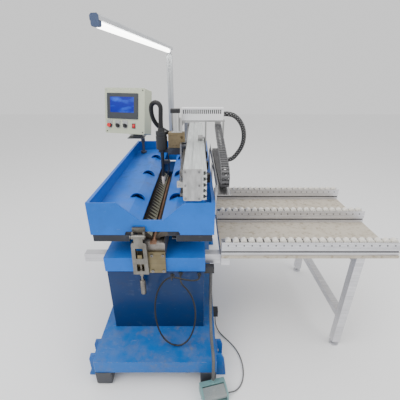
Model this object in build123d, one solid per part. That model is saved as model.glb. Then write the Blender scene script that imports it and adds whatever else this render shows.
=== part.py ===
"""Longitudinal seam welder for thin sheet, with its roller support table.

The row frame has +Z up and +Y from the operator's end to the rear. The origin is on the floor, under the
seam line and at the middle of the base's length. Lengths are millimetres.
"""
from build123d import *
import math
import os

# ---------------------------------------------------------------- driving dimensions
BASE_HALF_X = 285
BASE_HALF_Y = 680
BASE_Z = (81, 151)
TROUGH_HALF_X = 270
TROUGH_Y = (-480, 700)
TROUGH_Z = (710, 863)
CABINET_HALF_X = 228
CABINET_Y = (-473, 400)
BED_HALF_X = 232
BED_Z = (515, 590)
REAR_COLUMN_Y = (404, 664)
SHEET_Z = 671                      # upper face of the backing bar, where the sheet lies
SLOT_HALF_X = 42                   # half of the gap between the two covers
COVER_BEND = (100, 806)            # where each cover bends down to the slot, x and z
BEAM_X = (138, 234)
BEAM_Y = (-467, 690)
BEAM_Z = (871, 1004)
CARRIAGE_Y = 20                    # middle of the carriage at rest
TORCH = (0, 22)                    # torch axis, x and y
LIFT_ROD_X = (52, 88)              # guide rods of the torch lift
FINGER_PITCH = 35
FINGER_COUNT = 24
FINGER_FIRST_Y = -452
FINGER_PIVOT = (84, SHEET_Z + 44)    # x and z of each finger shaft
LATCH_X = -57
LATCH_PIN = (-508, 716)            # y and z of the pin the latch hangs from
SCREW = (124, 936)                 # x and z of the travel screw
ARM_Z = (1107, 1115)               # flat bar that carries the cable duct
CHAIN_X = 308
POST_Y = 720
LAMP_PIVOT_Z = 1486
LAMP_LENGTH = 1125
LAMP_YAW = 9.0                     # degrees to the left of the seam
LAMP_RISE = 1.3                    # degrees
PANEL_POST = (-209, 591)
PANEL_PLATE_Z = 924
PANEL_FACE = (-305, 509, 1108)     # middle of the control panel's face
PANEL_YAW = 15
PANEL_TILT = 12
PANEL_SIZE = (300, 116, 300)
RAIL_Y = (-446, -126, 195)
RAIL_X = (306, 1120)
WHEEL_R = 14
WHEEL_PITCH = 36
DECK_Z = SHEET_Z - 79
PEDAL = (272, -738)
PEDAL_YAW = 14
PEDAL_PIN = (-28, 30)              # y and z of the treadle pin in the pedal's frame
PEDAL_GLAND = (4, 31, 72)          # top of the hose gland in the pedal's frame
PEDAL_OUTLET = (66, -12, 16)       # cable outlet in the pedal's frame
FRONT_GLANDS = ((205, 492), (118, 498))
HOOK = (78, 486)                   # x and z of the hook on the cabinet's front
HOSE_SOCKET_X = 92                 # end of the torch hose on the carriage
HOSE_END = (357, 118, 875)         # end of the braided hose on its hanger


# ---------------------------------------------------------------- helpers
def block(x, y, z):
    """A box between two values on each axis."""
    size = (x[1] - x[0], y[1] - y[0], z[1] - z[0])
    return Pos((x[0] + x[1]) / 2, (y[0] + y[1]) / 2, (z[0] + z[1]) / 2) * Box(*size)


def rod(start, end, radius):
    """A round bar between two points."""
    a, b = Vector(*start), Vector(*end)
    place = Plane(origin=a, z_dir=b - a)
    return place * Cylinder(radius, (b - a).length, align=(Align.CENTER, Align.CENTER, Align.MIN))


def tube(start, end, radius, bore):
    """A round bar with a bore right through it."""
    a, b = Vector(*start), Vector(*end)
    over = (b - a).normalized()
    return rod(a, b, radius) - rod(a - over, b + over, bore)


def profile_xz(points, y):
    """A closed outline in the XZ plane, drawn out between two values of y."""
    face = Plane.XZ * make_face(Polyline(*points, close=True))
    return Pos(0, y[1], 0) * extrude(face, y[1] - y[0])


def profile_yz(points, x):
    """A closed outline in the YZ plane, drawn out between two values of x."""
    face = Plane.YZ * make_face(Polyline(*points, close=True))
    return Pos(x[0], 0, 0) * extrude(face, x[1] - x[0])


def hex_head(centre, direction, across, height):
    """Head of a hexagon screw, standing on a face."""
    place = Plane(origin=Vector(*centre), z_dir=Vector(*direction))
    return place * extrude(RegularPolygon(across / math.sqrt(3), 6), height)


def cap_head(centre, direction, radius, height):
    """Head of a socket screw with its hexagon socket, standing on a face."""
    place = Plane(origin=Vector(*centre), z_dir=Vector(*direction))
    body = Pos(0, 0, height / 2) * Cylinder(radius, height)
    return place * (body - Pos(0, 0, height * 0.45) * extrude(RegularPolygon(radius * 0.58, 6), height))


def both_sides(shape):
    """The shape and its mirror image across the seam plane."""
    return [shape, shape.mirror(Plane.YZ)]


def group(shapes):
    """Several separate solids kept in one node."""
    solids = []
    for shape in shapes:
        solids += shape.solids()
    return Compound(children=solids)


def cord_tube(points, radius):
    """A tube along straight runs joined by tangent arcs, and the arcs' radii."""
    vectors = [Vector(*p) for p in points]
    radii = []
    for before, corner, after in zip(vectors, vectors[1:], vectors[2:]):
        runs = (corner - before, after - corner)
        turn = math.radians(runs[0].get_angle(runs[1]))
        radii.append(0.45 * min(runs[0].length, runs[1].length) / math.tan(turn / 2))
    path = FilletPolyline(*vectors, radius=radii)
    start = Plane(origin=vectors[0], z_dir=vectors[1] - vectors[0])
    solid = sweep(start * Circle(radius), path=path)
    expected = math.pi * radius ** 2 * path.length
    print(f"cord: length {path.length:.0f}, radii {[round(r) for r in radii]}, "
          f"volume share {solid.volume / expected:.4f}")
    return solid


# ---------------------------------------------------------------- base and columns
ANCHOR_X = 309                     # anchor holes, each side of the seam plane
ANCHOR_Y = 590
ANCHOR_HOLE_R = 7


def anchor_bracket(y0):
    """Angle bracket with two cheeks and a hole for a floor anchor, right of the seam."""
    web = block((BASE_HALF_X, BASE_HALF_X + 8), (y0 - 45, y0 + 45), (0, BASE_Z[1] - 6))
    flange = block((BASE_HALF_X, 335), (y0 - 45, y0 + 45), (0, 12))
    bracket = web + flange
    for s in (-40, 40):
        bracket += profile_xz([(BASE_HALF_X, 0), (322, 0), (322, 116), (312, BASE_Z[1] - 6),
                               (BASE_HALF_X, BASE_Z[1] - 6)], (y0 + s - 5, y0 + s + 5))
    return bracket - rod((ANCHOR_X, y0, -1), (ANCHOR_X, y0, 13), ANCHOR_HOLE_R)


def base_frame():
    """Folded base box, open below, with the anchor brackets welded to its sides."""
    wall = 5
    outer = block((-BASE_HALF_X, BASE_HALF_X), (-BASE_HALF_Y, BASE_HALF_Y), BASE_Z)
    outer = fillet(outer.edges().filter_by(Axis.Z), 6)
    inner = block((-BASE_HALF_X + wall, BASE_HALF_X - wall),
                  (-BASE_HALF_Y + wall, BASE_HALF_Y - wall), (BASE_Z[0] - 1, BASE_Z[1] - wall))
    shell = outer - inner
    for sy in (-1, 1):
        for bracket in both_sides(anchor_bracket(sy * ANCHOR_Y)):
            shell += bracket
    return shell


def feet():
    """Steel block feet under the four corners, on rubber pads."""
    made = []
    for sx in (-1, 1):
        for sy in (-1, 1):
            x = sorted((sx * 210, sx * (BASE_HALF_X - 1)))
            y = sorted((sy * 556, sy * (BASE_HALF_Y + 4)))
            foot = block(x, y, (10, BASE_Z[0]))
            made.append(chamfer(foot.edges().filter_by(Axis.Z), 3))
            made.append(Pos(sx * 247, sy * 620, 5) * Box(66, 118, 10))
    return group(made)


def frame_screws():
    """Heads of the screws in the anchor brackets, the nose plate and the beam's end plates."""
    heads = []
    for sy in (-1, 1):
        for dz in (-18, 18):
            heads += both_sides(hex_head((BASE_HALF_X + 8, sy * ANCHOR_Y, 100 + dz), (1, 0, 0), 13, 7))
    front = TROUGH_Y[0] - 14
    for x, z in ((-8, 527), (42, 527), (42, 612), (-8, 612)):
        heads.append(cap_head((x, front, z), (0, -1, 0), 6.5, 5))
    for z in (BEAM_Z[0] + 10, BEAM_Z[0] + 67, BEAM_Z[1] - 9):
        for x in (BEAM_X[0] + 9, BEAM_X[1] - 31):
            heads.append(cap_head((x, BEAM_Y[0] - 10, z), (0, -1, 0), 4.2, 3))
        for x in (BEAM_X[0] + 24, BEAM_X[1] - 31):
            heads.append(cap_head((x, BEAM_Y[1] + 10, z), (0, 1, 0), 4.2, 3))
    return group(heads)


def cabinet():
    """Welded column between the base and the bed, with its cable holes."""
    wall = 4
    outer = block((-CABINET_HALF_X, CABINET_HALF_X), CABINET_Y, (BASE_Z[1], BED_Z[0]))
    inner = block((-CABINET_HALF_X + wall, CABINET_HALF_X - wall),
                  (CABINET_Y[0] + wall, CABINET_Y[1] - wall), (BASE_Z[1] - 1, BED_Z[0] - wall))
    shell = outer - inner
    for x, z in FRONT_GLANDS:
        shell -= rod((x, CABINET_Y[0] - 1, z), (x, CABINET_Y[0] + wall + 1, z), 6)
    return shell


def lower_bed():
    """Box beam across the cabinet that carries the mandrel."""
    wall = 6
    y = (TROUGH_Y[0] - 2, REAR_COLUMN_Y[0])
    outer = block((-BED_HALF_X, BED_HALF_X), y, BED_Z)
    inner = block((-BED_HALF_X + wall, BED_HALF_X - wall), (y[0] + wall, y[1] + 1),
                  (BED_Z[0] + wall, BED_Z[1] - wall))
    return outer - inner


def rear_column():
    """Rear upright that joins the base, the bed and the clamp head."""
    wall = 8
    outer = block((-200, 200), REAR_COLUMN_Y, (BASE_Z[1], TROUGH_Z[0]))
    inner = block((-200 + wall, 200 - wall), (REAR_COLUMN_Y[0] + wall, REAR_COLUMN_Y[1] - wall),
                  (BASE_Z[1] - 1, TROUGH_Z[0] - wall))
    return outer - inner


# ---------------------------------------------------------------- clamp head
NOTCH = ((-144, TROUGH_Z[1]), (-51, 782), (51, 782), (144, TROUGH_Z[1]))


def trough():
    """Open clamp head: end plates, lipped walls, floors, cover posts and the beam's supports."""
    x0, x1 = -TROUGH_HALF_X, TROUGH_HALF_X
    y0, y1 = TROUGH_Y
    z0, z1 = TROUGH_Z
    recess = 17
    outline = [(x0, z0), (-124, z0), (-114, z0 + recess), (114, z0 + recess), (124, z0), (x1, z0),
               (x1, z1), *reversed(NOTCH), (x0, z1)]
    shell = profile_xz(outline, (y0, y0 + 6)) + block((x0, x1), (y1 - 6, y1), (z0, z1))
    for side in both_sides(block((x1 - 5, x1), (y0, y1), (z0, z1))):
        shell += side
    for lip in both_sides(block((x1 - 15, x1), (y0, y1), (z1 - 4, z1))):
        shell += lip
    for floor in both_sides(block((120, x1), (y0, y1), (z0, z0 + 5))):
        shell += floor
    for y in (-400, 110, 640):
        shell += block((-250, -238), (y - 12, y + 12), (z0 + 5, 787.4))
    for y in (-458, -100, 330, 640):
        shell += block((128, 140), (y - 12, y + 12), (z0 + 5, 799.4))
        shell += block((-140, -128), (y - 12, y + 12), (z0 + 5, 798.8))
    for y in ((-467, -412), (618, 686)):
        shell += block((150, 226), y, (z0 + 5, BEAM_Z[0]))
    return shell


def clamp_beams():
    """Black bars under the head with the finger shafts, and the hoses that press the finger tails up."""
    y = (TROUGH_Y[0] + 2, REAR_COLUMN_Y[0] - 2)
    x, z = FINGER_PIVOT
    bar = block((103, 120), (TROUGH_Y[0] + 6.2, y[1]), (SHEET_Z + 5, z + 26))
    bar += block((103, TROUGH_HALF_X - 8), y, (SHEET_Z + 5, TROUGH_Z[0]))
    bar += block((60, 103), (TROUGH_Y[0] + 6.2, y[1]), (z + 20, z + 26))
    bar += block((84, 103), (TROUGH_Y[0] + 8, y[1]), (SHEET_Z + 13, SHEET_Z + 17.4))
    for y0 in (TROUGH_Y[0] + 7, REAR_COLUMN_Y[0] - 12):
        bar += block((66, 103), (y0, y0 + 8), (z - 14, z + 20))
    bar += rod((x, TROUGH_Y[0] + 7, z), (x, REAR_COLUMN_Y[0] - 4, z), 6)
    section = Plane.XZ * Pos(94, SHEET_Z + 20.5) * SlotOverall(16, 6)
    hose = Pos(0, y[1] - 14, 0) * extrude(section, y[1] - y[0] - 32)
    return group(both_sides(bar) + both_sides(hose))


def finger(y):
    """One clamp finger with its copper tip and the bore for its shaft, left of the seam."""
    s = SHEET_Z
    points = [(-99, s + 28), (-99, s + 55), (-46, s + 55), (-8, s + 16), (-6, s + 9), (-6, s + 3.6),
              (-6.6, s + 3), (-26, s + 3), (-26, s + 9.2)]
    bar = profile_xz(points, (y + 0.5, y + FINGER_PITCH - 1.5))
    x, z = FINGER_PIVOT
    return bar - rod((-x, y - 1, z), (-x, y + FINGER_PITCH, z), 6.06)


def finger_bank(side):
    """All fingers of one side: -1 left, 1 right."""
    made = [finger(FINGER_FIRST_Y + i * FINGER_PITCH) for i in range(FINGER_COUNT)]
    if side > 0:
        made = [m.mirror(Plane.YZ) for m in made]
    return group(made)


def cover_outline(outer_x, outer_z):
    """Folded sheet from the outer edge over the bend to a short lip at the slot, right of the seam."""
    t = 3
    bx, bz = COVER_BEND
    return [(outer_x, outer_z), (bx, bz), (SLOT_HALF_X, 778), (SLOT_HALF_X, 771),
            (SLOT_HALF_X + t, 771), (SLOT_HALF_X + t, 778 - 1.2), (bx + 1, bz - t), (outer_x, outer_z - t)]


COVER_HOLES_Y = (-280, 74, 428)


def hooded(sheet, y):
    """The cover with a half-round hole across its bend, under a pressed hood that opens to the front."""
    x = COVER_BEND[0] - 4
    sheet -= Pos(x, y, 800) * Cylinder(31, 60) & block((50, 150), (y, y + 40), (770, 830))
    hood = Pos(x, y, 788) * (Sphere(38) - Sphere(35)) & block((50, 140), (y, y + 40), (770, 830))
    under = [(50, 760), (50, 780.5), (COVER_BEND[0], COVER_BEND[1] - 1.5), (140, 802), (140, 760)]
    return sheet + (hood - profile_xz(under, (y - 1, y + 41)))


def left_cover():
    """Wide cover between the left wall and the slot."""
    sheet = profile_xz(cover_outline(TROUGH_HALF_X - 5.3, 789), (TROUGH_Y[0] + 6.3, TROUGH_Y[1] - 6.3))
    for y in COVER_HOLES_Y:
        sheet = hooded(sheet, y)
    sheet -= rod((-PANEL_POST[0], PANEL_POST[1], 770), (-PANEL_POST[0], PANEL_POST[1], 830), 12.5)
    return sheet.mirror(Plane.YZ)


def right_cover():
    """Narrow cover between the slot and the beam's supports."""
    sheet = profile_xz(cover_outline(146, 802), (TROUGH_Y[0] + 6.3, TROUGH_Y[1] - 6.3))
    for y in COVER_HOLES_Y:
        sheet = hooded(sheet, y)
    return sheet


# ---------------------------------------------------------------- mandrel and latch
MANDREL_HALF_X = 51


def mandrel():
    """Steel bar under the seam, with a seat for the backing bar."""
    y = (TROUGH_Y[0] - 2, REAR_COLUMN_Y[0])
    bar = block((-MANDREL_HALF_X, MANDREL_HALF_X), y, (BED_Z[1], SHEET_Z))
    bar = chamfer(bar.edges().filter_by(Axis.Y).group_by(Axis.Z)[-1], 5)
    return bar - block((-15, 15), (y[0] - 1, y[1] + 1), (SHEET_Z - 8, SHEET_Z + 1))


def backing_bar():
    """Copper bar with the gas groove, let into the mandrel."""
    y = (TROUGH_Y[0] - 2, REAR_COLUMN_Y[0] - 1)
    bar = block((-15, 15), y, (SHEET_Z - 8, SHEET_Z))
    return bar - block((-2.5, 2.5), (y[0] - 1, y[1] + 1), (SHEET_Z - 1.5, SHEET_Z + 1))


def nose_plate():
    """Yellow-plated plate over the front of the bed and mandrel, with the latch lug."""
    front = TROUGH_Y[0] - 14
    plate = block((-93, 52), (front, front + 12), (BED_Z[0] + 1, 629))
    lug = block((LATCH_X - 10, LATCH_X + 10), (front - 24, front + 1), (612, 629))
    return plate + lug


def latch_clevis():
    """Forked bracket on the head's front plate, with the pin of the latch."""
    y0 = TROUGH_Y[0]
    py, pz = LATCH_PIN
    clevis = block((LATCH_X - 28, LATCH_X + 28), (y0 - 11, y0), (727.5, 752))
    for side in (-1, 1):
        x = sorted((LATCH_X + side * 20, LATCH_X + side * 28))
        ear = block(x, (py, y0 - 3), (pz - 11, pz + 11)) + rod((x[0], py, pz), (x[1], py, pz), 11)
        clevis += ear + block(x, (py, y0 - 5), (pz, 740))
    clevis += rod((LATCH_X - 32, py, pz), (LATCH_X + 32, py, pz), 5)
    return clevis + rod((LATCH_X - 36, py, pz), (LATCH_X - 32, py, pz), 8)


def latch_link():
    """Hanging frame that hooks over the lug on the nose plate."""
    py, pz = LATCH_PIN
    y = (py - 11, py + 11)
    knuckle = rod((LATCH_X - 19.5, py, pz), (LATCH_X + 19.5, py, pz), 11)
    neck = block((LATCH_X - 19.5, LATCH_X + 19.5), y, (690, pz))
    body = profile_xz([(LATCH_X - 35, 526), (LATCH_X + 35, 526), (LATCH_X + 33, 684), (LATCH_X + 27, 692),
                       (LATCH_X - 27, 692), (LATCH_X - 33, 684)], y)
    body = body + neck + knuckle
    body -= rod((LATCH_X - 30, py, pz), (LATCH_X + 30, py, pz), 5.05)
    body -= block((LATCH_X - 17, LATCH_X + 17), (y[0] - 1, y[1] + 1), (544, 664))
    return body - rod((LATCH_X, py, 520), (LATCH_X, py, 550), 6.3)


def clamp_block():
    """Nut block that the latch screw lifts against the lug."""
    py = LATCH_PIN[0]
    shoe = block((LATCH_X - 16.6, LATCH_X + 16.6), (py - 10.5, py + 10.5), (582, 611))
    return shoe - rod((LATCH_X, py, 581), (LATCH_X, py, 612), 5.05)


def latch_screw():
    """Screw and turned handle below the latch, held by a collar each side of the link's lower bar."""
    py = LATCH_PIN[0]
    shank = rod((LATCH_X, py, 478), (LATCH_X, py, 597.5), 5)
    shank += rod((LATCH_X, py, 515), (LATCH_X, py, 525.5), 9)
    shank += rod((LATCH_X, py, 544.5), (LATCH_X, py, 549), 9)
    grip = Pos(LATCH_X, py, 447) * Cylinder(12.5, 78)
    grip = fillet(grip.edges().filter_by(GeomType.CIRCLE), 3)
    taper = Plane(origin=(LATCH_X, py, 485)) * Cone(10, 5, 14)
    return shank + grip + taper


# ---------------------------------------------------------------- beam and drive
def beam():
    """Hollow aluminium beam with open slots along its right side and top."""
    outer = block(BEAM_X, BEAM_Y, BEAM_Z)
    outer = fillet(outer.edges().filter_by(Axis.Y), 4)
    long_y = (BEAM_Y[0] - 1, BEAM_Y[1] + 1)
    for z in ((882, 932), (942, 992)):
        outer -= block((150, 208), long_y, z)
    outer -= block((171, 179), long_y, (BEAM_Z[1] - 5, BEAM_Z[1] + 1))
    for i in range(5):
        z = BEAM_Z[0] + 16 + i * 25.2
        outer -= block((BEAM_X[1] - 5, BEAM_X[1] + 1), long_y, (z - 4, z + 4))
        outer -= block((BEAM_X[1] - 14, BEAM_X[1] - 4.9), long_y, (z - 8, z + 8))
    return outer


def beam_ends():
    """Machined plates over the two ends of the beam, and the bearing block of the travel screw."""
    x, z = SCREW
    front = block((BEAM_X[0] - 1, BEAM_X[1] - 20), (BEAM_Y[0] - 10, BEAM_Y[0]), (BEAM_Z[0], BEAM_Z[1] + 1))
    rear = block((x - 27, BEAM_X[1] - 20), (BEAM_Y[1], BEAM_Y[1] + 10), (BEAM_Z[0], BEAM_Z[1] + 1))
    plates = [fillet(p.edges().filter_by(Axis.Y), 8) for p in (front, rear)]
    plates[1] -= rod((x, BEAM_Y[1] - 1, z), (x, BEAM_Y[1] + 11, z), 6.06)
    bearing = block((x - 12, BEAM_X[0]), (BEAM_Y[0] + 6, BEAM_Y[0] + 22), (z - 12, z + 12))
    return group([*plates, bearing - rod((x, BEAM_Y[0], z), (x, BEAM_Y[0] + 30, z), 6.06)])


def travel_screw():
    """Screw along the beam that drives the carriage."""
    x, z = SCREW
    return rod((x, BEAM_Y[0] + 8, z), (x, BEAM_Y[1] + 9, z), 6)


RAIL_ZS = (892, 980)


def guide_rails():
    """Two linear rails on the left face of the beam."""
    rails = []
    for z in RAIL_ZS:
        rail = block((BEAM_X[0] - 14, BEAM_X[0]), (BEAM_Y[0] + 6, BEAM_Y[1] - 6), (z - 7.5, z + 7.5))
        for s in (-1, 1):
            groove = block((BEAM_X[0] - 10, BEAM_X[0] - 6), (BEAM_Y[0], BEAM_Y[1]),
                           tuple(sorted((z + s * 5.5, z + s * 8))))
            rail -= groove
        rails.append(rail)
    return group(rails)


def bearing_blocks():
    """Four carriages of the linear rails."""
    blocks = []
    for z in RAIL_ZS:
        for dy in (-42, 42):
            y = CARRIAGE_Y + dy
            body = block((112, BEAM_X[0] - 3), (y - 27, y + 27), (z - 17, z + 17))
            blocks.append(body - block((BEAM_X[0] - 14.4, BEAM_X[0]), (y - 28, y + 28), (z - 7.9, z + 7.9)))
    return group(blocks)


def carriage_plate():
    """Main plate of the carriage with the screw nut and the upright for the cable arm."""
    x, z = SCREW
    plate = block((104, 112), (CARRIAGE_Y - 72, CARRIAGE_Y + 72), (873, 1008))
    plate += block((104, 112), (CARRIAGE_Y + 22, CARRIAGE_Y + 72), (1007, ARM_Z[0]))
    nut = block((112, 136), (CARRIAGE_Y - 20, CARRIAGE_Y + 20), (z - 13, z + 13))
    plate += nut - rod((x, CARRIAGE_Y - 21, z), (x, CARRIAGE_Y + 21, z), 6.06)
    return plate + rod((HOSE_SOCKET_X, 66, 1040), (104, 66, 1040), 13)


def lift_housing():
    """Bronze-coloured housing of the torch lift, on the carriage plate."""
    y = TORCH[1]
    body = block((38, 104), (y - 23, y + 23), (977, 1058))
    body = chamfer(body.edges().filter_by(Axis.Y), 3)
    body += block((98, 128), (y - 23, y + 17), (1008, 1058))
    for x in LIFT_ROD_X:
        body -= rod((x, y + 8, 970), (x, y + 8, 1057), 6.06)
    for z in (990, 1045):
        for x in (50, 66, 82):
            body -= rod((x, y - 24, z), (x, y - 17, z), 3)
    return body - rod((113, y - 24, 1033), (113, y - 12, 1033), 8)


def lift_motor():
    """Motor of the torch lift with its cap, and the slim guide cylinder beside it."""
    y = TORCH[1] - 2
    body = rod((80, y, 1064), (80, y, 1158), 20) + Pos(86, y + 1, 1061) * Box(56, 38, 6)
    body += rod((106, y + 10, 1064), (106, y + 10, 1120), 6.5)
    body += rod((106, y + 10, 1120), (106, y + 10, 1132), 8.5)
    cap = fillet((Pos(80, y, 1168) * Box(50, 46, 20)).edges().filter_by(Axis.Z), 5)
    return group([body, cap])


def torch_bracket():
    """Sliding bracket with two guide rods, the ring that holds the torch, and the wire guide."""
    x, y = TORCH
    body = block((33, 100), (y - 20, y + 20), (938, 974)) + block((8, 34), (y - 12, y + 12), (948, 966))
    body += rod((x, y, 948), (x, y, 966), 20)
    for rx in LIFT_ROD_X:
        body += rod((rx, y + 8, 970), (rx, y + 8, 1056), 6)
    body -= rod((x, y, 930), (x, y, 975), 10)
    return group([body - block((-30, 0), (y - 1.5, y + 1.5), (930, 975)), wire_guide()])


def torch_body():
    """Torch: black head over the ring, barrel through it, and the electrode."""
    x, y = TORCH
    body = rod((x, y, 966), (x, y, 1036), 31) + rod((x, y, 1036), (x, y, 1041), 28)
    body += rod((x, y, 1041), (x, y, 1062), 30) + rod((x, y, 1062), (x, y, 1080), 18)
    body += rod((x, y, 860), (x, y, 966), 10) + rod((x, y, 805), (x, y, 860), 7)
    return body + rod((x, y, 752), (x, y, 806), 1.6) + Pos(x, y, 747) * Cone(0.3, 1.6, 10)


def torch_nozzle():
    """Ceramic gas nozzle, tapered and hollow."""
    x, y = TORCH
    outline = [(4, 758), (6.5, 758), (9, 776), (9.5, 780), (9.5, 805), (4.5, 805), (4.5, 793), (4, 783)]
    face = Plane.XZ * make_face(Polyline(*outline, close=True))
    return Pos(x, y, 0) * revolve(face, Axis.Z)


def wire_guide():
    """Bent tube that leads the filler wire to the nozzle, with its clamp on the barrel."""
    x, y = TORCH
    path = FilletPolyline(Vector(x + 34, y + 2, 938), Vector(x + 34, y + 2, 846),
                          Vector(x + 12, y - 16, 782), radius=22)
    guide = sweep(Plane(origin=(x + 34, y + 2, 938), z_dir=(0, 0, -1)) * Circle(3.2), path=path)
    clamp = block((x + 7, x + 42), (y - 7, y + 11), (884, 902))
    return guide + (clamp - rod((x, y, 880), (x, y, 905), 10))


def cable_arm():
    """Flat bar over the beam that carries the duct, the end of the chain and the hose hanger."""
    y = (CARRIAGE_Y + 28, CARRIAGE_Y + 72)
    bar = block((104, 345), y, ARM_Z)
    bar += profile_xz([(112, ARM_Z[0]), (132, ARM_Z[0]), (112, ARM_Z[0] - 25)], (y[0] + 18, y[0] + 26))
    bar += block((CHAIN_X - 16, CHAIN_X + 16), (56.5, 60.5), (1074, ARM_Z[0]))
    bar += block((340, 345), (y[1] - 16, 136), (850, ARM_Z[0] + 1))
    bar += rod((345, HOSE_END[1], HOSE_END[2]), HOSE_END, 18)
    return group([bar, arm_support()])


def arm_support():
    """Plate from the cable arm down the right side of the beam, with its counter roller."""
    y = (CARRIAGE_Y + 32, CARRIAGE_Y + 68)
    plate = block((238, 246), y, (950, ARM_Z[0]))
    axle_z = BEAM_Z[1] + 14.4
    plate += rod((214, y[0] + 18, axle_z), (239, y[0] + 18, axle_z), 5)
    return plate + rod((200, y[0] + 18, axle_z), (226, y[0] + 18, axle_z), 14)


def duct():
    """Slotted cable duct on the arm, with its lid and end bushing."""
    y = (CARRIAGE_Y + 28, CARRIAGE_Y + 72)
    z = (ARM_Z[1], ARM_Z[1] + 59)
    channel = block((112, 336), y, z) - block((111, 334), (y[0] + 2, y[1] - 2), (z[0] + 2, z[1] + 1))
    for i in range(19):
        x = 120 + i * 11
        channel -= block((x, x + 6), (y[0] - 1, y[1] + 1), (z[0] + 33, z[1] - 1))
    lid = block((112, 336), (y[0] - 2, y[1] + 2), (z[1] - 3, z[1] + 4))
    lid -= block((111, 337), (y[0], y[1]), (z[1] - 4, z[1]))
    case = channel + lid + rod((334, 70, z[0] + 31), (339, 70, z[0] + 31), 16)
    wires = [rod((116, y[0] + dy, z[0] + dz), (331, y[0] + dy, z[0] + dz), 8.5)
             for dy, dz in ((12, 11), (31, 11), (21, 28), (12, 46), (31, 46))]
    return group([case, *wires])


def drive_motor():
    """Motor of the travel screw, on the beam's rear plate."""
    x, z = SCREW
    y = BEAM_Y[1] + 10
    body = chamfer(block((x - 26, x + 26), (y, y + 74), (z - 26, z + 26)).edges().filter_by(Axis.Y), 5)
    return body + rod((x, y + 74, z), (x, y + 82, z), 20)


def chain_path():
    """Line of the drag chain as y and z: fixed end, along the tray, round the bend, up to the arm."""
    return [(230, 912), (-385, 912), (-455, 930), (-472, 958), (-452, 990), (-385, 1008), (54, 1088)]


def drag_chain():
    """Plain envelope of the drag chain, a bar of its width and height along its whole path."""
    points = chain_path()
    line = FilletPolyline(*[Vector(0, a, b) for a, b in points], radius=[18] * (len(points) - 2))
    start = Plane(origin=(0, *points[0]), x_dir=(1, 0, 0), z_dir=(0, -1, 0))
    return Pos(CHAIN_X, 0, 0) * sweep(start * Rectangle(36, 17), path=line)


def chain_tray():
    """Folded tray along the outside of the head that the chain lies in."""
    y = (-486, 250)
    tray = block((276, 332), y, (900, 902)) + block((276, 278), y, (900, 946))
    for y0 in (-440, -110, 210):
        tray += block((TROUGH_HALF_X, 276), (y0 - 20, y0 + 20), (800, 920))
    return tray


# ---------------------------------------------------------------- lamp
def lamp_post():
    """Slotted aluminium post behind the head, with the lamp's pivot on top."""
    half = 20
    top = LAMP_PIVOT_Z - 32
    post = block((-half, half), (POST_Y - half, POST_Y + half), (730, top))
    for axis in range(4):
        groove = block((-4, 4), (POST_Y - half - 1, POST_Y - half + 7), (729, top + 1))
        post -= groove.rotate(Axis((0, POST_Y, 0), (0, 0, 1)), 90 * axis)
    return post + rod((0, POST_Y, top), (0, POST_Y, top + 8), 19) + \
        rod((0, POST_Y, top), (0, POST_Y, LAMP_PIVOT_Z + 4), 6)


def lamp_place():
    """From the lamp's own frame, with +X along the tube from the pivot, to the row frame."""
    return Pos(0, POST_Y, LAMP_PIVOT_Z) * Rot(0, 0, -90 - LAMP_YAW) * Rot(0, -LAMP_RISE, 0)


def lamp_housing():
    """Batten housing of the lamp with its end caps and swivel boss."""
    body = Pos(LAMP_LENGTH / 2 - 40, 0, 17) * Box(LAMP_LENGTH, 36, 22)
    body = chamfer(body.edges().filter_by(Axis.X).group_by(Axis.Z)[-1], 7)
    body += Pos(0, 0, -7) * Cylinder(14, 28)
    for x in (11, LAMP_LENGTH - 51):
        cap = Pos(x, 0, -3) * Box(22, 32, 22)
        body += fillet(cap.edges().filter_by(Axis.X).group_by(Axis.Z)[0], 8)
    body = lamp_place() * body
    return body - rod((0, POST_Y, LAMP_PIVOT_Z - 26), (0, POST_Y, LAMP_PIVOT_Z + 4.5), 6.06)


def lamp_tube():
    """Light tube under the housing, between the end caps."""
    return lamp_place() * rod((22, 0, -5), (LAMP_LENGTH - 62, 0, -5), 11)


# ---------------------------------------------------------------- control panel
def panel_place():
    """From the panel's own frame, origin at the middle of its face and -Y outward, to the row frame."""
    return Pos(*PANEL_FACE) * Rot(0, 0, -PANEL_YAW) * Rot(-PANEL_TILT, 0, 0)


def panel_post():
    """Round post of the control panel, through the left cover to the floor of the head, with its collar."""
    x, y = PANEL_POST
    post = rod((x, y, TROUGH_Z[0] + 5), (x, y, PANEL_PLATE_Z - 8), 10)
    return post + rod((x, y, TROUGH_Z[0] + 5), (x, y, 723), 24) + rod((x, y, 800), (x, y, 812), 22)


def panel_swivel():
    """Swivel cup and bracket under the control panel."""
    x, y = PANEL_POST
    z = PANEL_PLATE_Z
    cup = rod((x, y, z - 46), (x, y, z + 1), 15) - rod((x, y, z - 47), (x, y, z - 7.6), 10.06)
    plate = block((x - 90, x + 25), (y - 104, y + 28), (z, z + 5))
    wedge = panel_place() * block((20, 120), (30, 110), (-152, -150))
    legs = panel_place() * block((34, 106), (60, 66), (-200, -151))
    legs = legs & block((-600, 200), (0, 900), (z + 4, z + 230))
    return cup + plate + wedge + legs


def panel_box():
    """Moulded control box with its face plate and the cut-outs for screen and controls."""
    w, d, h = PANEL_SIZE
    outer = block((-w / 2, w / 2), (0, d), (-h / 2, h / 2))
    outer = fillet(outer.edges().filter_by(Axis.Y), 8)
    outer -= block((-w / 2 + 3, w / 2 - 3), (3, d - 3), (-h / 2 + 3, h / 2 - 3))
    x0, x1, z0, z1 = SCREEN
    outer -= block((x0 + 6, x1 - 6), (-1, 4), (z0 + 6, z1 - 6))
    for name in ROUND_CONTROLS:
        outer -= rod((CONTROL_X[name], -1, CONTROL_Z), (CONTROL_X[name], 4, CONTROL_Z), 11.2)
    x = CONTROL_X["power_rocker"]
    outer -= block((x - 10.5, x + 10.5), (-1, 4), (CONTROL_Z - 14.5, CONTROL_Z + 14.5))
    return panel_place() * outer


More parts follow.
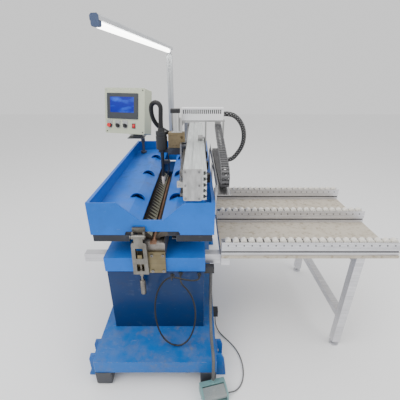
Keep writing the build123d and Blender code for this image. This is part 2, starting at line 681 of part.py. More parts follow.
SCREEN = (-130, 103, -51, 116)      # bezel of the touch screen in the panel's frame: x and z limits
CONTROL_Z = -96
ROUND_CONTROLS = ("stop_button", "mode_selector", "feed_selector")
CONTROL_X = {"stop_button": -113, "mode_selector": -52, "feed_selector": 5, "power_rocker": 70}


def touch_screen():
    """Bezel and body of the touch screen; its glass is a node of its own."""
    x0, x1, z0, z1 = SCREEN
    bezel = block((x0, x1), (-6, 0), (z0, z1))
    bezel = fillet(bezel.edges().filter_by(Axis.Y), 4)
    bezel -= block((x0 + 24, x1 - 30), (-7, -4), (z0 + 42, z1 - 24))
    return panel_place() * (bezel + block((x0 + 6.3, x1 - 6.3), (-0.01, 32), (z0 + 6.3, z1 - 6.3)))


def screen_glass():
    """Glass of the touch screen."""
    x0, x1, z0, z1 = SCREEN
    return panel_place() * block((x0 + 24, x1 - 30), (-5.2, -4), (z0 + 42, z1 - 24))


def control_bodies():
    """Label frames, collars and barrels of the controls, the rocker's frame and the corner screws."""
    bodies = []
    for name in ROUND_CONTROLS:
        x = CONTROL_X[name]
        plate = block((x - 20, x + 20), (-2.5, 0), (CONTROL_Z - 4, CONTROL_Z + 35)) + \
            rod((x, -2.5, CONTROL_Z), (x, 0, CONTROL_Z), 20)
        body = plate + rod((x, -8, CONTROL_Z), (x, -2.4, CONTROL_Z), 14.5) + \
            rod((x, -2.6, CONTROL_Z), (x, 30, CONTROL_Z), 11)
        bodies.append(body - rod((x, -9, CONTROL_Z), (x, 31, CONTROL_Z), 10.2))
    x = CONTROL_X["power_rocker"]
    frame = block((x - 13, x + 13), (-2.5, 0), (CONTROL_Z - 17, CONTROL_Z + 17)) + \
        block((x - 10.3, x + 10.3), (-0.1, 22), (CONTROL_Z - 14.3, CONTROL_Z + 14.3))
    bodies.append(frame - block((x - 8.5, x + 8.5), (-3, 18), (CONTROL_Z - 12.5, CONTROL_Z + 12.5)))
    for x in (-136, 136):
        for z in (-136, 136):
            bodies.append(cap_head((x, 0, z), (0, -1, 0), 4, 2))
    return group([panel_place() * b for b in bodies])


def stop_button():
    """Red push button."""
    x = CONTROL_X["stop_button"]
    cap = rod((x, -20, CONTROL_Z), (x, -12.5, CONTROL_Z), 13)
    return panel_place() * (cap + rod((x, -12.6, CONTROL_Z), (x, 14, CONTROL_Z), 9.9))


def selector(name):
    """Rotary selector with a raised grip."""
    x = CONTROL_X[name]
    knob = rod((x, -13, CONTROL_Z), (x, 14, CONTROL_Z), 9.9)
    grip = block((x - 3.6, x + 3.6), (-23, -12), (CONTROL_Z - 12, CONTROL_Z + 12))
    grip = grip.rotate(Axis((x, 0, CONTROL_Z), (0, 1, 0)), -35)
    return panel_place() * (knob + grip)


def power_rocker():
    """Red rocker of the power switch, convex so that it tips in its frame."""
    x = CONTROL_X["power_rocker"]
    shell = Pos(x, 14, CONTROL_Z) * Rot(0, 90, 0) * Cylinder(19, 16)
    return panel_place() * (shell & block((x - 8.1, x + 8.1), (-6, 8), (CONTROL_Z - 11.3, CONTROL_Z + 11.3)))


# ---------------------------------------------------------------- roller table
def table_rails():
    """Slotted profiles with the roller channels and axle pins, and the short stubs left of the bed."""
    rails = []
    top = SHEET_Z - 11
    for y in RAIL_Y:
        bar = block(RAIL_X, (y - 20, y + 20), (top - 68, top - 28))
        bar -= block((RAIL_X[0] - 1, RAIL_X[1] + 1), (y - 4, y + 4), (top - 69, top - 62))
        for s in (-1, 1):
            groove = sorted((y + s * 14, y + s * 21))
            bar -= block((RAIL_X[0] - 1, RAIL_X[1] + 1), groove, (top - 52, top - 44))
        channel = block(RAIL_X, (y - 19, y + 19), (top - 28, top))
        channel -= block((RAIL_X[0] - 1, RAIL_X[1] + 1), (y - 16.5, y + 16.5), (top - 26, top + 1))
        for x in roller_xs():
            channel += rod((x, y - 20, SHEET_Z - WHEEL_R), (x, y + 20, SHEET_Z - WHEEL_R), 1.6)
        rails.append(bar + channel)
    for y in (-430, -185):
        rails.append(block((-330, -BED_HALF_X), (y - 20, y + 20), (548, 588)))
    return group(rails)


def roller_xs():
    """Places of the rollers along a rail."""
    count = int((RAIL_X[1] - RAIL_X[0] - 30) / WHEEL_PITCH) + 1
    start = (RAIL_X[0] + RAIL_X[1] - (count - 1) * WHEEL_PITCH) / 2
    return [start + i * WHEEL_PITCH for i in range(count)]


def rollers():
    """Plastic rollers of all three rails."""
    wheels = []
    z = SHEET_Z - WHEEL_R
    for y in RAIL_Y:
        for x in roller_xs():
            wheel = rod((x, y - 12, z), (x, y + 12, z), WHEEL_R)
            wheels.append(wheel - rod((x, y - 13, z), (x, y + 13, z), 1.65))
    return group(wheels)


TABLE_BAR_X = (306, 346)
TABLE_LEG_X = (930, 970)


def table_deck():
    """Board between the rails and their frame."""
    return block(RAIL_X, (RAIL_Y[0] - 26, RAIL_Y[2] + 26), (DECK_Z - 12, DECK_Z))


def table_frame():
    """Cross bars, legs, feet and the brackets on the side of the bed."""
    y = (RAIL_Y[0] - 22, RAIL_Y[2] + 22)
    z = DECK_Z - 12
    frame = block(TABLE_LEG_X, y, (z - 40, z))
    for y0 in (RAIL_Y[0] - 2, RAIL_Y[2] + 2):
        frame += block(TABLE_LEG_X, (y0 - 20, y0 + 20), (28, z - 39))
        middle = sum(TABLE_LEG_X) / 2
        frame += rod((middle, y0, 0), (middle, y0, 10), 24) + rod((middle, y0, 9), (middle, y0, 29), 6)
    frame += block((TABLE_LEG_X[0] + 2, TABLE_LEG_X[1] - 2), (RAIL_Y[0], RAIL_Y[2]), (180, 216))
    inner = block(TABLE_BAR_X, y, (z - 40, z))
    for y0 in (-400, 60):
        inner += block((BED_HALF_X, 310), (y0 - 20, y0 + 20), (517, 567))
    return group([frame, inner])


# ---------------------------------------------------------------- air supply
# ---------------------------------------------------------------- foot pedal
def pedal_place():
    """From the pedal's own frame to the row frame."""
    return Pos(PEDAL[0], PEDAL[1], 0) * Rot(0, 0, PEDAL_YAW)




def pedal_base():
    """Cast body of the foot switch: floor plate, cheeks, rear hood, pin, plunger and two glands."""
    body = fillet(block((-60, 60), (-42, 46), (0, 8)).edges().filter_by(Axis.Z), 10)
    cheek = [(-38, 6), (46, 6), (43, 54), (12, 58), (-24, 44), (-38, 30)]
    for x in ((-60, -52), (52, 60)):
        body += profile_yz(cheek, x)
    hood = profile_yz([(18, 6), (46, 6), (43, 54), (18, 58)], (-60, 60))
    body += hood - profile_yz([(17, 8), (39, 8), (37, 49), (17, 52)], (-52, 52))
    y, z = PEDAL_PIN
    body += rod((-58, y, z), (58, y, z), 4)
    body += block((-18, 18), (-16, 10), (7, 30)) + rod((0, -2, 29), (0, -2, 33), 4)
    body += rod((PEDAL_GLAND[0], PEDAL_GLAND[1], 53), (PEDAL_GLAND[0], PEDAL_GLAND[1], PEDAL_GLAND[2]), 8.5)
    body += rod((59, PEDAL_OUTLET[1], PEDAL_OUTLET[2]), PEDAL_OUTLET, 5)
    return pedal_place() * body


def pedal_treadle():
    """Sloping treadle with raised ribs, hinged at its front."""
    y, z = PEDAL_PIN
    plate = profile_yz([(-34, 24), (-34, 36), (-28, 40), (14.5, 52), (14.5, 46), (-22, 36), (-22, 24)],
                       (-51.5, 51.5))
    for i in range(5):
        along = 0.1 + i * 0.2
        plate += Pos(0, -28 + 42.5 * along, 40.4 + 12 * along) * Rot(15.8, 0, 0) * Box(84, 3, 2.4)
    return pedal_place() * (plate - rod((-61, y, z), (61, y, z), 4.06))


# ---------------------------------------------------------------- cords
def pedal_point(x, y, z):
    """A point of the pedal's own frame in the row frame."""
    place = pedal_place() * Pos(x, y, z)
    return tuple(place.position)


def pedal_hose():
    """Conduit from the cabinet's side down to the foot switch."""
    x, y, z = pedal_point(*PEDAL_GLAND)
    return cord_tube([(262, -440, 478), (262, -440, 405), (262, -456, 335), (262, -492, 272),
                      (262, -546, 226), (263, -610, 202), (x, -672, 190), (x, y + 3, 166),
                      (x, y, 118), (x, y, z)], 7.5)


def loop_cable():
    """Spare loop of control cable between two glands, hung over the hook."""
    y = CABINET_Y[0] - 16
    return cord_tube([(205, y, 492), (205, y - 22, 492), (180, y - 34, 493), (140, y - 34, 499),
                      (98, y - 22, 503), (60, y - 16, 496), (28, y - 18, 462), (4, y - 24, 410),
                      (-8, y - 34, 345), (-6, y - 50, 275), (12, y - 74, 212), (48, y - 98, 172),
                      (96, y - 112, 161), (140, y - 106, 172), (172, y - 86, 214), (187, y - 64, 276),
                      (186, y - 50, 345), (172, y - 44, 405), (150, y - 46, 452), (126, y - 50, 484),
                      (118, y - 36, 498), (118, y, 498)], 4)


def floor_cable():
    """Thin cable from the foot switch over the floor to the box on the side of the base."""
    x, y, z = PEDAL_OUTLET
    return cord_tube([pedal_point(x, y, z), pedal_point(x + 17, y, z), (373, -722, 9), (397, -700, 4),
                      (416, -668, 3.4), (426, -626, 3.2), (427, -577, 3.4), (418, -528, 3.2),
                      (400, -485, 3.4), (374, -447, 3.2), (344, -412, 3.4), (318, -378, 6),
                      (303, -350, 20), (299, -330, 46), (299, -330, 78)], 3)


def torch_hose():
    """Hose from the torch head in a loop to the carriage."""
    x, y = TORCH
    return cord_tube([(x, y, 1080), (x, y, 1118), (x + 2, y + 2, 1156), (x + 4, y + 4, 1190),
                      (x - 12, y + 10, 1207), (x - 34, y + 18, 1207), (x - 50, y + 26, 1190),
                      (x - 52, y + 35, 1152), (x - 44, y + 44, 1114), (x - 24, y + 51, 1082),
                      (x + 8, y + 52, 1058), (x + 46, 66, 1040), (HOSE_SOCKET_X, 66, 1040)], 12)


def braided_hose():
    """Braided hose from the duct's end in an arch to the hanger."""
    z = ARM_Z[1] + 31
    x1, y1, z1 = HOSE_END
    return cord_tube([(339, 70, z), (378, 70, z), (414, 74, z - 20), (442, 80, z - 54),
                      (459, 88, z - 98), (463, 97, z - 146), (454, 106, z - 192), (431, 113, z - 232),
                      (x1 + 42, y1, z1), HOSE_END], 13)


def cable_fittings():
    """Glands of the cables on the cabinet and the base, and the hook of the spare loop."""
    y0 = CABINET_Y[0]
    made = []
    for x, z in FRONT_GLANDS:
        made.append(rod((x, y0 - 16, z), (x, y0 + 6, z), 5.4) + rod((x, y0 - 8, z), (x, y0, z), 9))
    x = CABINET_HALF_X
    made.append(block((x, x + 48), (-458, -422), (484, 514))
                + rod((x + 34, -440, 478), (x + 34, -440, 486), 10))
    x = BASE_HALF_X
    made.append(block((x, x + 28), (-350, -310), (90, 130)) + rod((x + 14, -330, 78), (x + 14, -330, 91), 6))
    path = FilletPolyline(Vector(HOOK[0], y0 - 3, HOOK[1]), Vector(HOOK[0], y0 - 42, HOOK[1]),
                          Vector(HOOK[0], y0 - 42, HOOK[1] + 20), radius=7)
    start = Plane(origin=(HOOK[0], y0 - 3, HOOK[1]), z_dir=(0, -1, 0))
    hook = sweep(start * Circle(3), path=path) + rod((HOOK[0], y0, HOOK[1]), (HOOK[0], y0 - 4, HOOK[1]), 10)
    return group([*made, hook])


NODES = {
    "base_frame": base_frame, "feet": feet, "frame_screws": frame_screws,
    "cabinet": cabinet, "lower_bed": lower_bed, "rear_column": rear_column, "trough": trough,
    "clamp_beams": clamp_beams, "left_fingers": lambda: finger_bank(-1),
    "right_fingers": lambda: finger_bank(1), "left_cover": left_cover, "right_cover": right_cover,
    "mandrel": mandrel, "backing_bar": backing_bar, "nose_plate": nose_plate, "latch_clevis": latch_clevis,
    "latch_link": latch_link, "clamp_block": clamp_block, "latch_screw": latch_screw, "beam": beam,
    "beam_ends": beam_ends, "guide_rails": guide_rails, "bearing_blocks": bearing_blocks,
    "travel_screw": travel_screw, "drive_motor": drive_motor, "carriage_plate": carriage_plate,
    "lift_housing": lift_housing, "lift_motor": lift_motor,
    "torch_bracket": torch_bracket, "torch_body": torch_body, "torch_nozzle": torch_nozzle,
    "cable_arm": cable_arm, "duct": duct,
    "drag_chain": drag_chain, "chain_tray": chain_tray, "lamp_post": lamp_post,
    "lamp_housing": lamp_housing, "lamp_tube": lamp_tube, "panel_post": panel_post,
    "panel_swivel": panel_swivel, "panel_box": panel_box,
    "touch_screen": touch_screen, "screen_glass": screen_glass, "control_bodies": control_bodies,
    "stop_button": stop_button, "mode_selector": lambda: selector("mode_selector"),
    "feed_selector": lambda: selector("feed_selector"), "power_rocker": power_rocker,
    "table_rails": table_rails, "rollers": rollers, "table_deck": table_deck, "table_frame": table_frame,
    "pedal_base": pedal_base, "pedal_treadle": pedal_treadle, "cable_fittings": cable_fittings,
    "pedal_hose": pedal_hose, "loop_cable": loop_cable, "floor_cable": floor_cable,
    "torch_hose": torch_hose, "braided_hose": braided_hose,
}


def main():
    """Builds every node and writes its STEP file."""
    os.makedirs("parts", exist_ok=True)
    for name, maker in NODES.items():
        shape = maker()
        export_step(shape, f"parts/{name}.step")


if __name__ == "__main__":
    main()
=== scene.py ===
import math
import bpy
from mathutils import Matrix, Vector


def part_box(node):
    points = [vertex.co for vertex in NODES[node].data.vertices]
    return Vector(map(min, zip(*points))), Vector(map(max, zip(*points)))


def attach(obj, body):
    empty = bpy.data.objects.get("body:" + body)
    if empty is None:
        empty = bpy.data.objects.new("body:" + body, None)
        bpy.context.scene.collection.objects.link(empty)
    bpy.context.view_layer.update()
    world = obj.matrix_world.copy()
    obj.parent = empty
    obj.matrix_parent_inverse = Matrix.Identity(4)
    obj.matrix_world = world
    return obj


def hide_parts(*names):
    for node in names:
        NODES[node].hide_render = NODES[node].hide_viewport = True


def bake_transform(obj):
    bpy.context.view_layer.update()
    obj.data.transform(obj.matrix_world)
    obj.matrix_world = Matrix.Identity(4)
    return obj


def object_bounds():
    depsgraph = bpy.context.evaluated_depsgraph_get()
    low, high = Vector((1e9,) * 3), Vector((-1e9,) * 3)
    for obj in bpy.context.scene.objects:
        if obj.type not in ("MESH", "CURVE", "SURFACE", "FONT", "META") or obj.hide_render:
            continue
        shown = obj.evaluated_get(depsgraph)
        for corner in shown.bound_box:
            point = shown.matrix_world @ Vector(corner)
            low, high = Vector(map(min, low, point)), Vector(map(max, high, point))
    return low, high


bl_info = {
    "name": "Seam Welder Finish",
    "version": (1, 0, 0),
    "blender": (4, 5, 0),
    "location": "3D View > Sidebar > Seam Welder",
    "description": "Finishes, cords, lamp, stage and camera for a sheet seam welding machine",
    "category": "Object",
}

import bpy
from bpy.props import FloatProperty, FloatVectorProperty, PointerProperty
from mathutils import Matrix, Vector

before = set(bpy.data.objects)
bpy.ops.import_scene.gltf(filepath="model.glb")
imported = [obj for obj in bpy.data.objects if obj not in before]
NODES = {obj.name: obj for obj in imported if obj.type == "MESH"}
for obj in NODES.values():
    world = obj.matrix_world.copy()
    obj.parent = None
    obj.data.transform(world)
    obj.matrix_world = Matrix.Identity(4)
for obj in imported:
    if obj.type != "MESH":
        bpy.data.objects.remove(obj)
CAD_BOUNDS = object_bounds()

# Lengths are in metres, except the cords' routes and radii, the roller tracks and the chain's line.
MM = 0.001

# The control box stands turned and tipped back on its post.
BOX_TURN = math.radians(-15)
BOX_TIP = math.radians(-12)
BOX_FACE = Vector((-0.305, 0.509, 1.108))
BOX_PLACE = (Matrix.Translation(BOX_FACE) @ Matrix.Rotation(BOX_TURN, 4, "Z")
             @ Matrix.Rotation(BOX_TIP, 4, "X"))

# Routes of the cords, in millimetres.
PEDAL_ROUTE = [(262, -440, 478), (262, -440, 405), (262, -456, 335), (262, -492, 272), (262, -546, 226),
               (263, -610, 202), (268.4, -672, 190), (268.4, -704, 166), (268.4, -707, 118),
               (268.4, -707, 72)]
LOOP_Y = -489
LOOP_ROUTE = [(205, 0, 492), (205, -22, 492), (180, -34, 493), (140, -34, 499), (98, -22, 503),
              (60, -16, 496), (28, -18, 462), (4, -24, 410), (-8, -34, 345), (-6, -50, 275),
              (12, -74, 212), (48, -98, 172), (96, -112, 161), (140, -106, 172), (172, -86, 214),
              (187, -64, 276), (186, -50, 345), (172, -44, 405), (150, -46, 452), (126, -50, 484),
              (118, -36, 498), (118, 0, 498)]
FLOOR_ROUTE = [(338.9, -733.7, 16), (355.4, -729.6, 16), (373, -722, 9), (397, -700, 4), (416, -668, 3.4),
               (426, -626, 3.2), (427, -577, 3.4), (418, -528, 3.2), (400, -485, 3.4), (374, -447, 3.2),
               (344, -412, 3.4), (318, -378, 6), (303, -350, 20), (299, -330, 46), (299, -330, 78)]
TORCH_ROUTE = [(0, 22, 1080), (0, 22, 1118), (2, 24, 1156), (4, 26, 1190), (-12, 32, 1207), (-34, 40, 1207),
               (-50, 48, 1190), (-52, 57, 1152), (-44, 66, 1114), (-24, 73, 1082), (8, 74, 1058),
               (46, 66, 1040), (92, 66, 1040)]
BRAID_ROUTE = [(339, 70, 1146), (378, 70, 1146), (414, 74, 1126), (442, 80, 1092), (459, 88, 1048),
               (463, 97, 1000), (454, 106, 954), (431, 113, 914), (399, 118, 875), (357, 118, 875)]

# Radii of the cords, in millimetres.
PEDAL_RADIUS = 7.5
LOOP_RADIUS = 4.0
FLOOR_RADIUS = 3.0
BRAID_RADIUS = 13.0
TORCH_RADIUS = 12.0

# Roller tracks, in millimetres: their middles, the pitch and radius of their rollers, and the rivets.
TRACK_Y = (-446, -126, 195)
TRACK_PITCH = 36
TRACK_WHEEL_R = 14
RIVET_DROP = 16
RIVET_ENDS = (18.6, 20.4)
RIVET_RADIUS = 3.2

# Side grooves of the track profile: distance of their floor from the middle, and span under the top.
GROOVE_FLOOR = 0.017
GROOVE_SPAN = (0.0525, 0.0435)
GROOVE_DEPTH = 0.0035

# Middle line of the cable chain, in millimetres.
CHAIN_X = 308
CHAIN_ROUTE = [(230, 912), (-385, 912), (-455, 930), (-472, 958), (-452, 990), (-385, 1008), (54, 1088)]

# Links of the chain: side plates, cross bars and carried cables. Every second link is tucked in.
LINK_PITCH = 0.018
LINK_HALF_WIDTH = 0.018
LINK_HALF_HEIGHT = 0.0085
LINK_TUCK = 0.0006
LINK_LINE_STEPS = 24
SIDE_INSET = 0.0018
SIDE_HALF = 0.0016
SIDE_REACH = LINK_PITCH * 0.56
RUNG_INSET = 0.0012
RUNG_HALF = 0.0011
RUNG_REACH = LINK_PITCH * 0.24
RUNG_END_GAP = 0.003
INNER_CABLE_OUT = 0.0085
INNER_CABLE_HALF = (0.0032, LINK_PITCH * 0.53, 0.0036)

# Weld beads in the trough's corners: inset from its faces, lower end, gap at the rim, ripple and waist.
BEAD_INSET = 0.0035
BEAD_FOOT = 0.084
BEAD_TOP_GAP = 0.004
BEAD_RIPPLE = 0.012
BEAD_WAIST = 0.7

# Travel switches: shares of the beam's length, centres from the beam's top and face, and half sizes.
SWITCH_SHARES = (0.12, 0.3, 0.46, 0.62, 0.8)
SWITCH_STAGGER = 0.006
PLATE_DROP = 0.086
PLATE_OUT = 0.001
PLATE_HALF = (0.0012, 0.026, 0.030)
CASE_DROP = 0.082
CASE_OUT = 0.0105
CASE_ALONG = -0.004
CASE_HALF = (0.0085, 0.015, 0.020)

# Where one material gives way to another on a piece.
FINGER_TIP_SPAN = (0.022, 0.006)
FINGER_TIP_SLOPE = 0.2
MOTOR_CAP_HEIGHT = 0.034
TORCH_COLLAR_Z = 0.806
LAMP_CAP_DEPTH = 0.036
DUCT_WALL = 0.0038
DUCT_END_GAP = 0.001
DUCT_RIM = 0.010
LEGEND_FRONT = -2.7 * MM
LEGEND_MIDDLE_Z = -96 * MM
LEGEND_HALF_HEIGHT = 21 * MM
LEGEND_END_X = 40 * MM

# Six faces of a block whose corners run from low to high, x slowest and z fastest.
BLOCK_FACES = ((0, 1, 3, 2), (4, 6, 7, 5), (0, 4, 5, 1), (2, 3, 7, 6), (0, 2, 6, 4), (1, 5, 7, 3))

# Width of a small block's softened edge, as a share of its least half size.
SOFT_EDGE_SHARE = 0.4

# How glossy the painted and the moulded finishes are, and the full height of a finish's relief.
PAINT_SPECULAR = 0.28
PLASTIC_SPECULAR = 0.35
COAT_ROUGHNESS = 0.25
RELIEF_HEIGHT = 0.0006

# Tones that the effects lay over a finish.
DEEP_TONE = (0.01, 0.03, 0.09, 1.0)
CHALK_TONE = (0.55, 0.62, 0.70, 1.0)
SCRATCH_TONE = (0.42, 0.48, 0.55, 1.0)
PAINT_DUST = (0.24, 0.24, 0.24, 1.0)
METAL_DUST = (0.38, 0.36, 0.33, 1.0)
PLASTIC_DUST = (0.40, 0.38, 0.34, 1.0)
GRAIN_TONE = (0.05, 0.05, 0.05, 1.0)

# Stage: half the floor's side, the soft lights (place, size, watts) and the camera.
FLOOR_REACH = 9.0
FLOOR_GAP = 0.0005
LIGHTS = {
    "key_light": ((-1.7, -1.9, 3.0), 2.4, 70.0),
    "fill_light": ((2.6, -1.4, 2.1), 2.6, 34.0),
    "top_light": ((0.3, 0.6, 3.6), 2.8, 46.0),
}
CAMERA_PLACE = (0.1941, -1.5519, 1.3504)
CAMERA_TILT = math.radians(64.25)
CAMERA_LENS = 25.65
CAMERA_SHIFT = (0.0075, 0.02375)


# ---------------------------------------------------------------- settings

def colour(label, description, default):
    """A colour that the user can change."""
    return FloatVectorProperty(name=label, description=description, default=default, subtype="COLOR",
                               size=3, min=0.0, max=1.0)


class SeamWelderColours(bpy.types.PropertyGroup):
    """Colours of the main finishes."""
    blue: colour("Blue paint", "Paint of the trough and the covers", (0.001, 0.155, 0.66))
    base_blue: colour("Base paint", "Paint of the base frame", (0.002, 0.125, 0.46))
    # Painted shade: this is the machine's one blue paint made darker to stand for the shadow that the trough
    # casts on the column. It finishes the cabinet and the rear column.
    painted_shade_blue: colour("Column paint", "Darker paint of the column and the bed", (0.001, 0.024, 0.105))
    cream: colour("Control box", "Cream plastic of the control box", (0.47, 0.50, 0.38))
    red: colour("Red controls", "Stop button and rocker", (0.62, 0.015, 0.02))
    bronze: colour("Bronze block", "Cast block of the torch slide", (0.27, 0.205, 0.11))
    teal: colour("Foot switch", "Hammered paint of the foot switch", (0.17, 0.34, 0.33))
    board: colour("Deck board", "Board under the roller tracks", (0.50, 0.45, 0.37))


class SeamWelderSizes(bpy.types.PropertyGroup):
    """Sizes and strengths of the finish."""
    edge_width: FloatProperty(name="Edge wear width",
                              description="How far worn paint reaches in from an edge",
                              default=0.0022, min=0.0, unit="LENGTH")
    lamp_strength: FloatProperty(name="Lamp strength", description="Brightness of the light tube",
                                 default=9.0, min=0.0)
    screen_strength: FloatProperty(name="Screen strength", description="Brightness of the touch screen",
                                   default=1.1, min=0.0)
    bead: FloatProperty(name="Weld bead radius",
                        description="Radius of the weld beads in the trough's corners",
                        default=0.0028, min=0.0005, unit="LENGTH")


# ---------------------------------------------------------------- node helpers

def add(tree, kind, inputs=None, **settings):
    """A node with its settings, and with its inputs linked or set."""
    node = tree.nodes.new(kind)
    for key, value in settings.items():
        setattr(node, key, value)
    for key, value in (inputs or {}).items():
        if isinstance(value, bpy.types.NodeSocket):
            tree.links.new(value, node.inputs[key])
        else:
            node.inputs[key].default_value = value
    return node


def math_node(tree, operation, a, b=0.0, clamp=False):
    """Two values joined by one operation."""
    return add(tree, "ShaderNodeMath", {0: a, 1: b}, operation=operation, use_clamp=clamp).outputs[0]


def remap(tree, value, low, high, to_low=0.0, to_high=1.0):
    """The value spread from one span to another, and held at its ends."""
    return add(tree, "ShaderNodeMapRange", {"Value": value, "From Min": low, "From Max": high,
                                            "To Min": to_low, "To Max": to_high}).outputs["Result"]


def mix(tree, factor, a, b, blend="MIX"):
    """Two colours mixed. The node's colour sockets are its inputs 6 and 7 and its output 2."""
    return add(tree, "ShaderNodeMix", {"Factor": factor, 6: a, 7: b}, data_type="RGBA",
               blend_type=blend).outputs[2]


def noise(tree, vector, scale, detail, rough):
    """Cloudy values between about 0.3 and 0.7."""
    return add(tree, "ShaderNodeTexNoise", {"Vector": vector, "Scale": scale, "Detail": detail,
                                            "Roughness": rough}).outputs["Fac"]


def new_group(name, inputs, outputs):
    """An empty shader group with named sockets, with its input and output nodes."""
    tree = bpy.data.node_groups.new(name, "ShaderNodeTree")
    kinds = {"color": "NodeSocketColor", "value": "NodeSocketFloat", "vector": "NodeSocketVector"}
    for label, kind, default in inputs:
        socket = tree.interface.new_socket(label, in_out="INPUT", socket_type=kinds[kind])
        socket.default_value = default
    for label, kind in outputs:
        tree.interface.new_socket(label, in_out="OUTPUT", socket_type=kinds[kind])
    return tree, tree.nodes.new("NodeGroupInput").outputs, tree.nodes.new("NodeGroupOutput")


def finish_group(tree, output, values):
    """Wire the values to the group's outputs."""
    for label, socket in values.items():
        tree.links.new(socket, output.inputs[label])
    return tree


# ---------------------------------------------------------------- shared effects

def worn_edge_group():
    """Mask that is white along convex edges, broken up by noise."""
    tree, given, out = new_group("Worn_Edges", [("Width", "value", 0.002), ("Break Up", "value", 60.0)],
                                 [("Mask", "value")])
    soft = add(tree, "ShaderNodeBevel", {"Radius": given["Width"]}, samples=4).outputs["Normal"]
    true = add(tree, "ShaderNodeNewGeometry").outputs["Normal"]
    dot = add(tree, "ShaderNodeVectorMath", {0: soft, 1: true}, operation="DOT_PRODUCT").outputs["Value"]
    edge = remap(tree, dot, 0.995, 0.86)
    place = add(tree, "ShaderNodeTexCoord").outputs["Object"]
    patches = remap(tree, noise(tree, place, given["Break Up"], 5.0, 0.6), 0.42, 0.62)
    return finish_group(tree, out, {"Mask": math_node(tree, "MULTIPLY", edge, patches, True)})


def dust_group():
    """Mask of dust that has settled on faces that look up."""
    tree, given, out = new_group("Settled_Dust", [("Amount", "value", 0.5), ("Scale", "value", 14.0)],
                                 [("Mask", "value")])
    normal = add(tree, "ShaderNodeNewGeometry").outputs["Normal"]
    facing = remap(tree, add(tree, "ShaderNodeSeparateXYZ", {0: normal}).outputs["Z"], 0.35, 0.95)
    place = add(tree, "ShaderNodeTexCoord").outputs["Object"]
    cloud = remap(tree, noise(tree, place, given["Scale"], 7.0, 0.68), 0.38, 0.70)
    mask = math_node(tree, "MULTIPLY", math_node(tree, "MULTIPLY", facing, cloud), given["Amount"], True)
    return finish_group(tree, out, {"Mask": mask})


def patch_group():
    """Mask of a soiled patch round a place, with a ragged rim."""
    tree, given, out = new_group(
        "Soiled_Patch",
        [("Centre", "vector", (0.0, 0.0, 0.0)), ("Reach", "value", 0.2), ("Strength", "value", 0.5),
         ("Everywhere", "value", 0.2)],
        [("Mask", "value")])
    place = add(tree, "ShaderNodeTexCoord").outputs["Object"]
    away = add(tree, "ShaderNodeVectorMath", {0: place, 1: given["Centre"]},
               operation="DISTANCE").outputs["Value"]
    rim = remap(tree, noise(tree, place, 13.0, 7.0, 0.7), 0.3, 0.7, -0.11, 0.11)
    share = math_node(tree, "DIVIDE", math_node(tree, "ADD", away, rim), given["Reach"])
    near = math_node(tree, "SUBTRACT", 1.0, share, True)
    soiled = math_node(tree, "MULTIPLY", near, given["Strength"])
    mask = math_node(tree, "ADD", soiled, given["Everywhere"], True)
    return finish_group(tree, out, {"Mask": mask})


def paint_group():
    """Brushed and scuffed paint: tone drift, grime blotches, thin scratches and fine orange peel."""
    tree, given, out = new_group(
        "Scuffed_Paint",
        [("Paint", "color", (0.05, 0.2, 0.6, 1)), ("Bare", "color", (0.3, 0.3, 0.3, 1)),
         ("Grime", "color", (0.1, 0.09, 0.07, 1)), ("Edge", "value", 0.0), ("Dust", "value", 0.0),
         ("Grime Amount", "value", 0.4), ("Scratches", "value", 0.4), ("Gloss Drift", "value", 0.15)],
        [("Color", "color"), ("Roughness", "value"), ("Height", "value")])
    place = add(tree, "ShaderNodeTexCoord").outputs["Object"]
    drift = noise(tree, place, 2.3, 6.0, 0.6)
    tone = mix(tree, remap(tree, drift, 0.3, 0.7, 0.0, 0.35), given["Paint"], DEEP_TONE)
    chalk = remap(tree, noise(tree, place, 9.0, 8.0, 0.7), 0.58, 0.78, 0.0, 0.10)
    pale = mix(tree, chalk, tone, CHALK_TONE)
    lines = add(tree, "ShaderNodeMapping", {"Vector": place, "Rotation": (0.3, 0.5, 0.7),
                                            "Scale": (9.0, 130.0, 110.0)}).outputs[0]
    scratch = remap(tree, noise(tree, lines, 2.4, 3.0, 0.5), 0.70, 0.74)
    scratch = math_node(tree, "MULTIPLY", scratch, given["Scratches"], True)
    blotch = remap(tree, noise(tree, place, 17.0, 9.0, 0.72), 0.50, 0.72)
    blotch = math_node(tree, "MULTIPLY", blotch, given["Grime Amount"], True)
    scuffed = mix(tree, scratch, pale, SCRATCH_TONE)
    grimy = mix(tree, blotch, scuffed, given["Grime"])
    chipped = mix(tree, given["Edge"], grimy, given["Bare"])
    dusty = mix(tree, given["Dust"], chipped, PAINT_DUST)
    rough = math_node(tree, "ADD", math_node(tree, "MULTIPLY", drift, given["Gloss Drift"]), 0.26)
    rough = math_node(tree, "ADD", rough, math_node(tree, "MULTIPLY", blotch, 0.28))
    rough = math_node(tree, "ADD", rough, math_node(tree, "MULTIPLY", given["Dust"], 0.4), True)
    peel = math_node(tree, "MULTIPLY", noise(tree, place, 260.0, 2.0, 0.5), 0.25)
    height = math_node(tree, "SUBTRACT", peel, math_node(tree, "ADD", given["Edge"], scratch))
    return finish_group(tree, out, {"Color": dusty, "Roughness": rough, "Height": height})


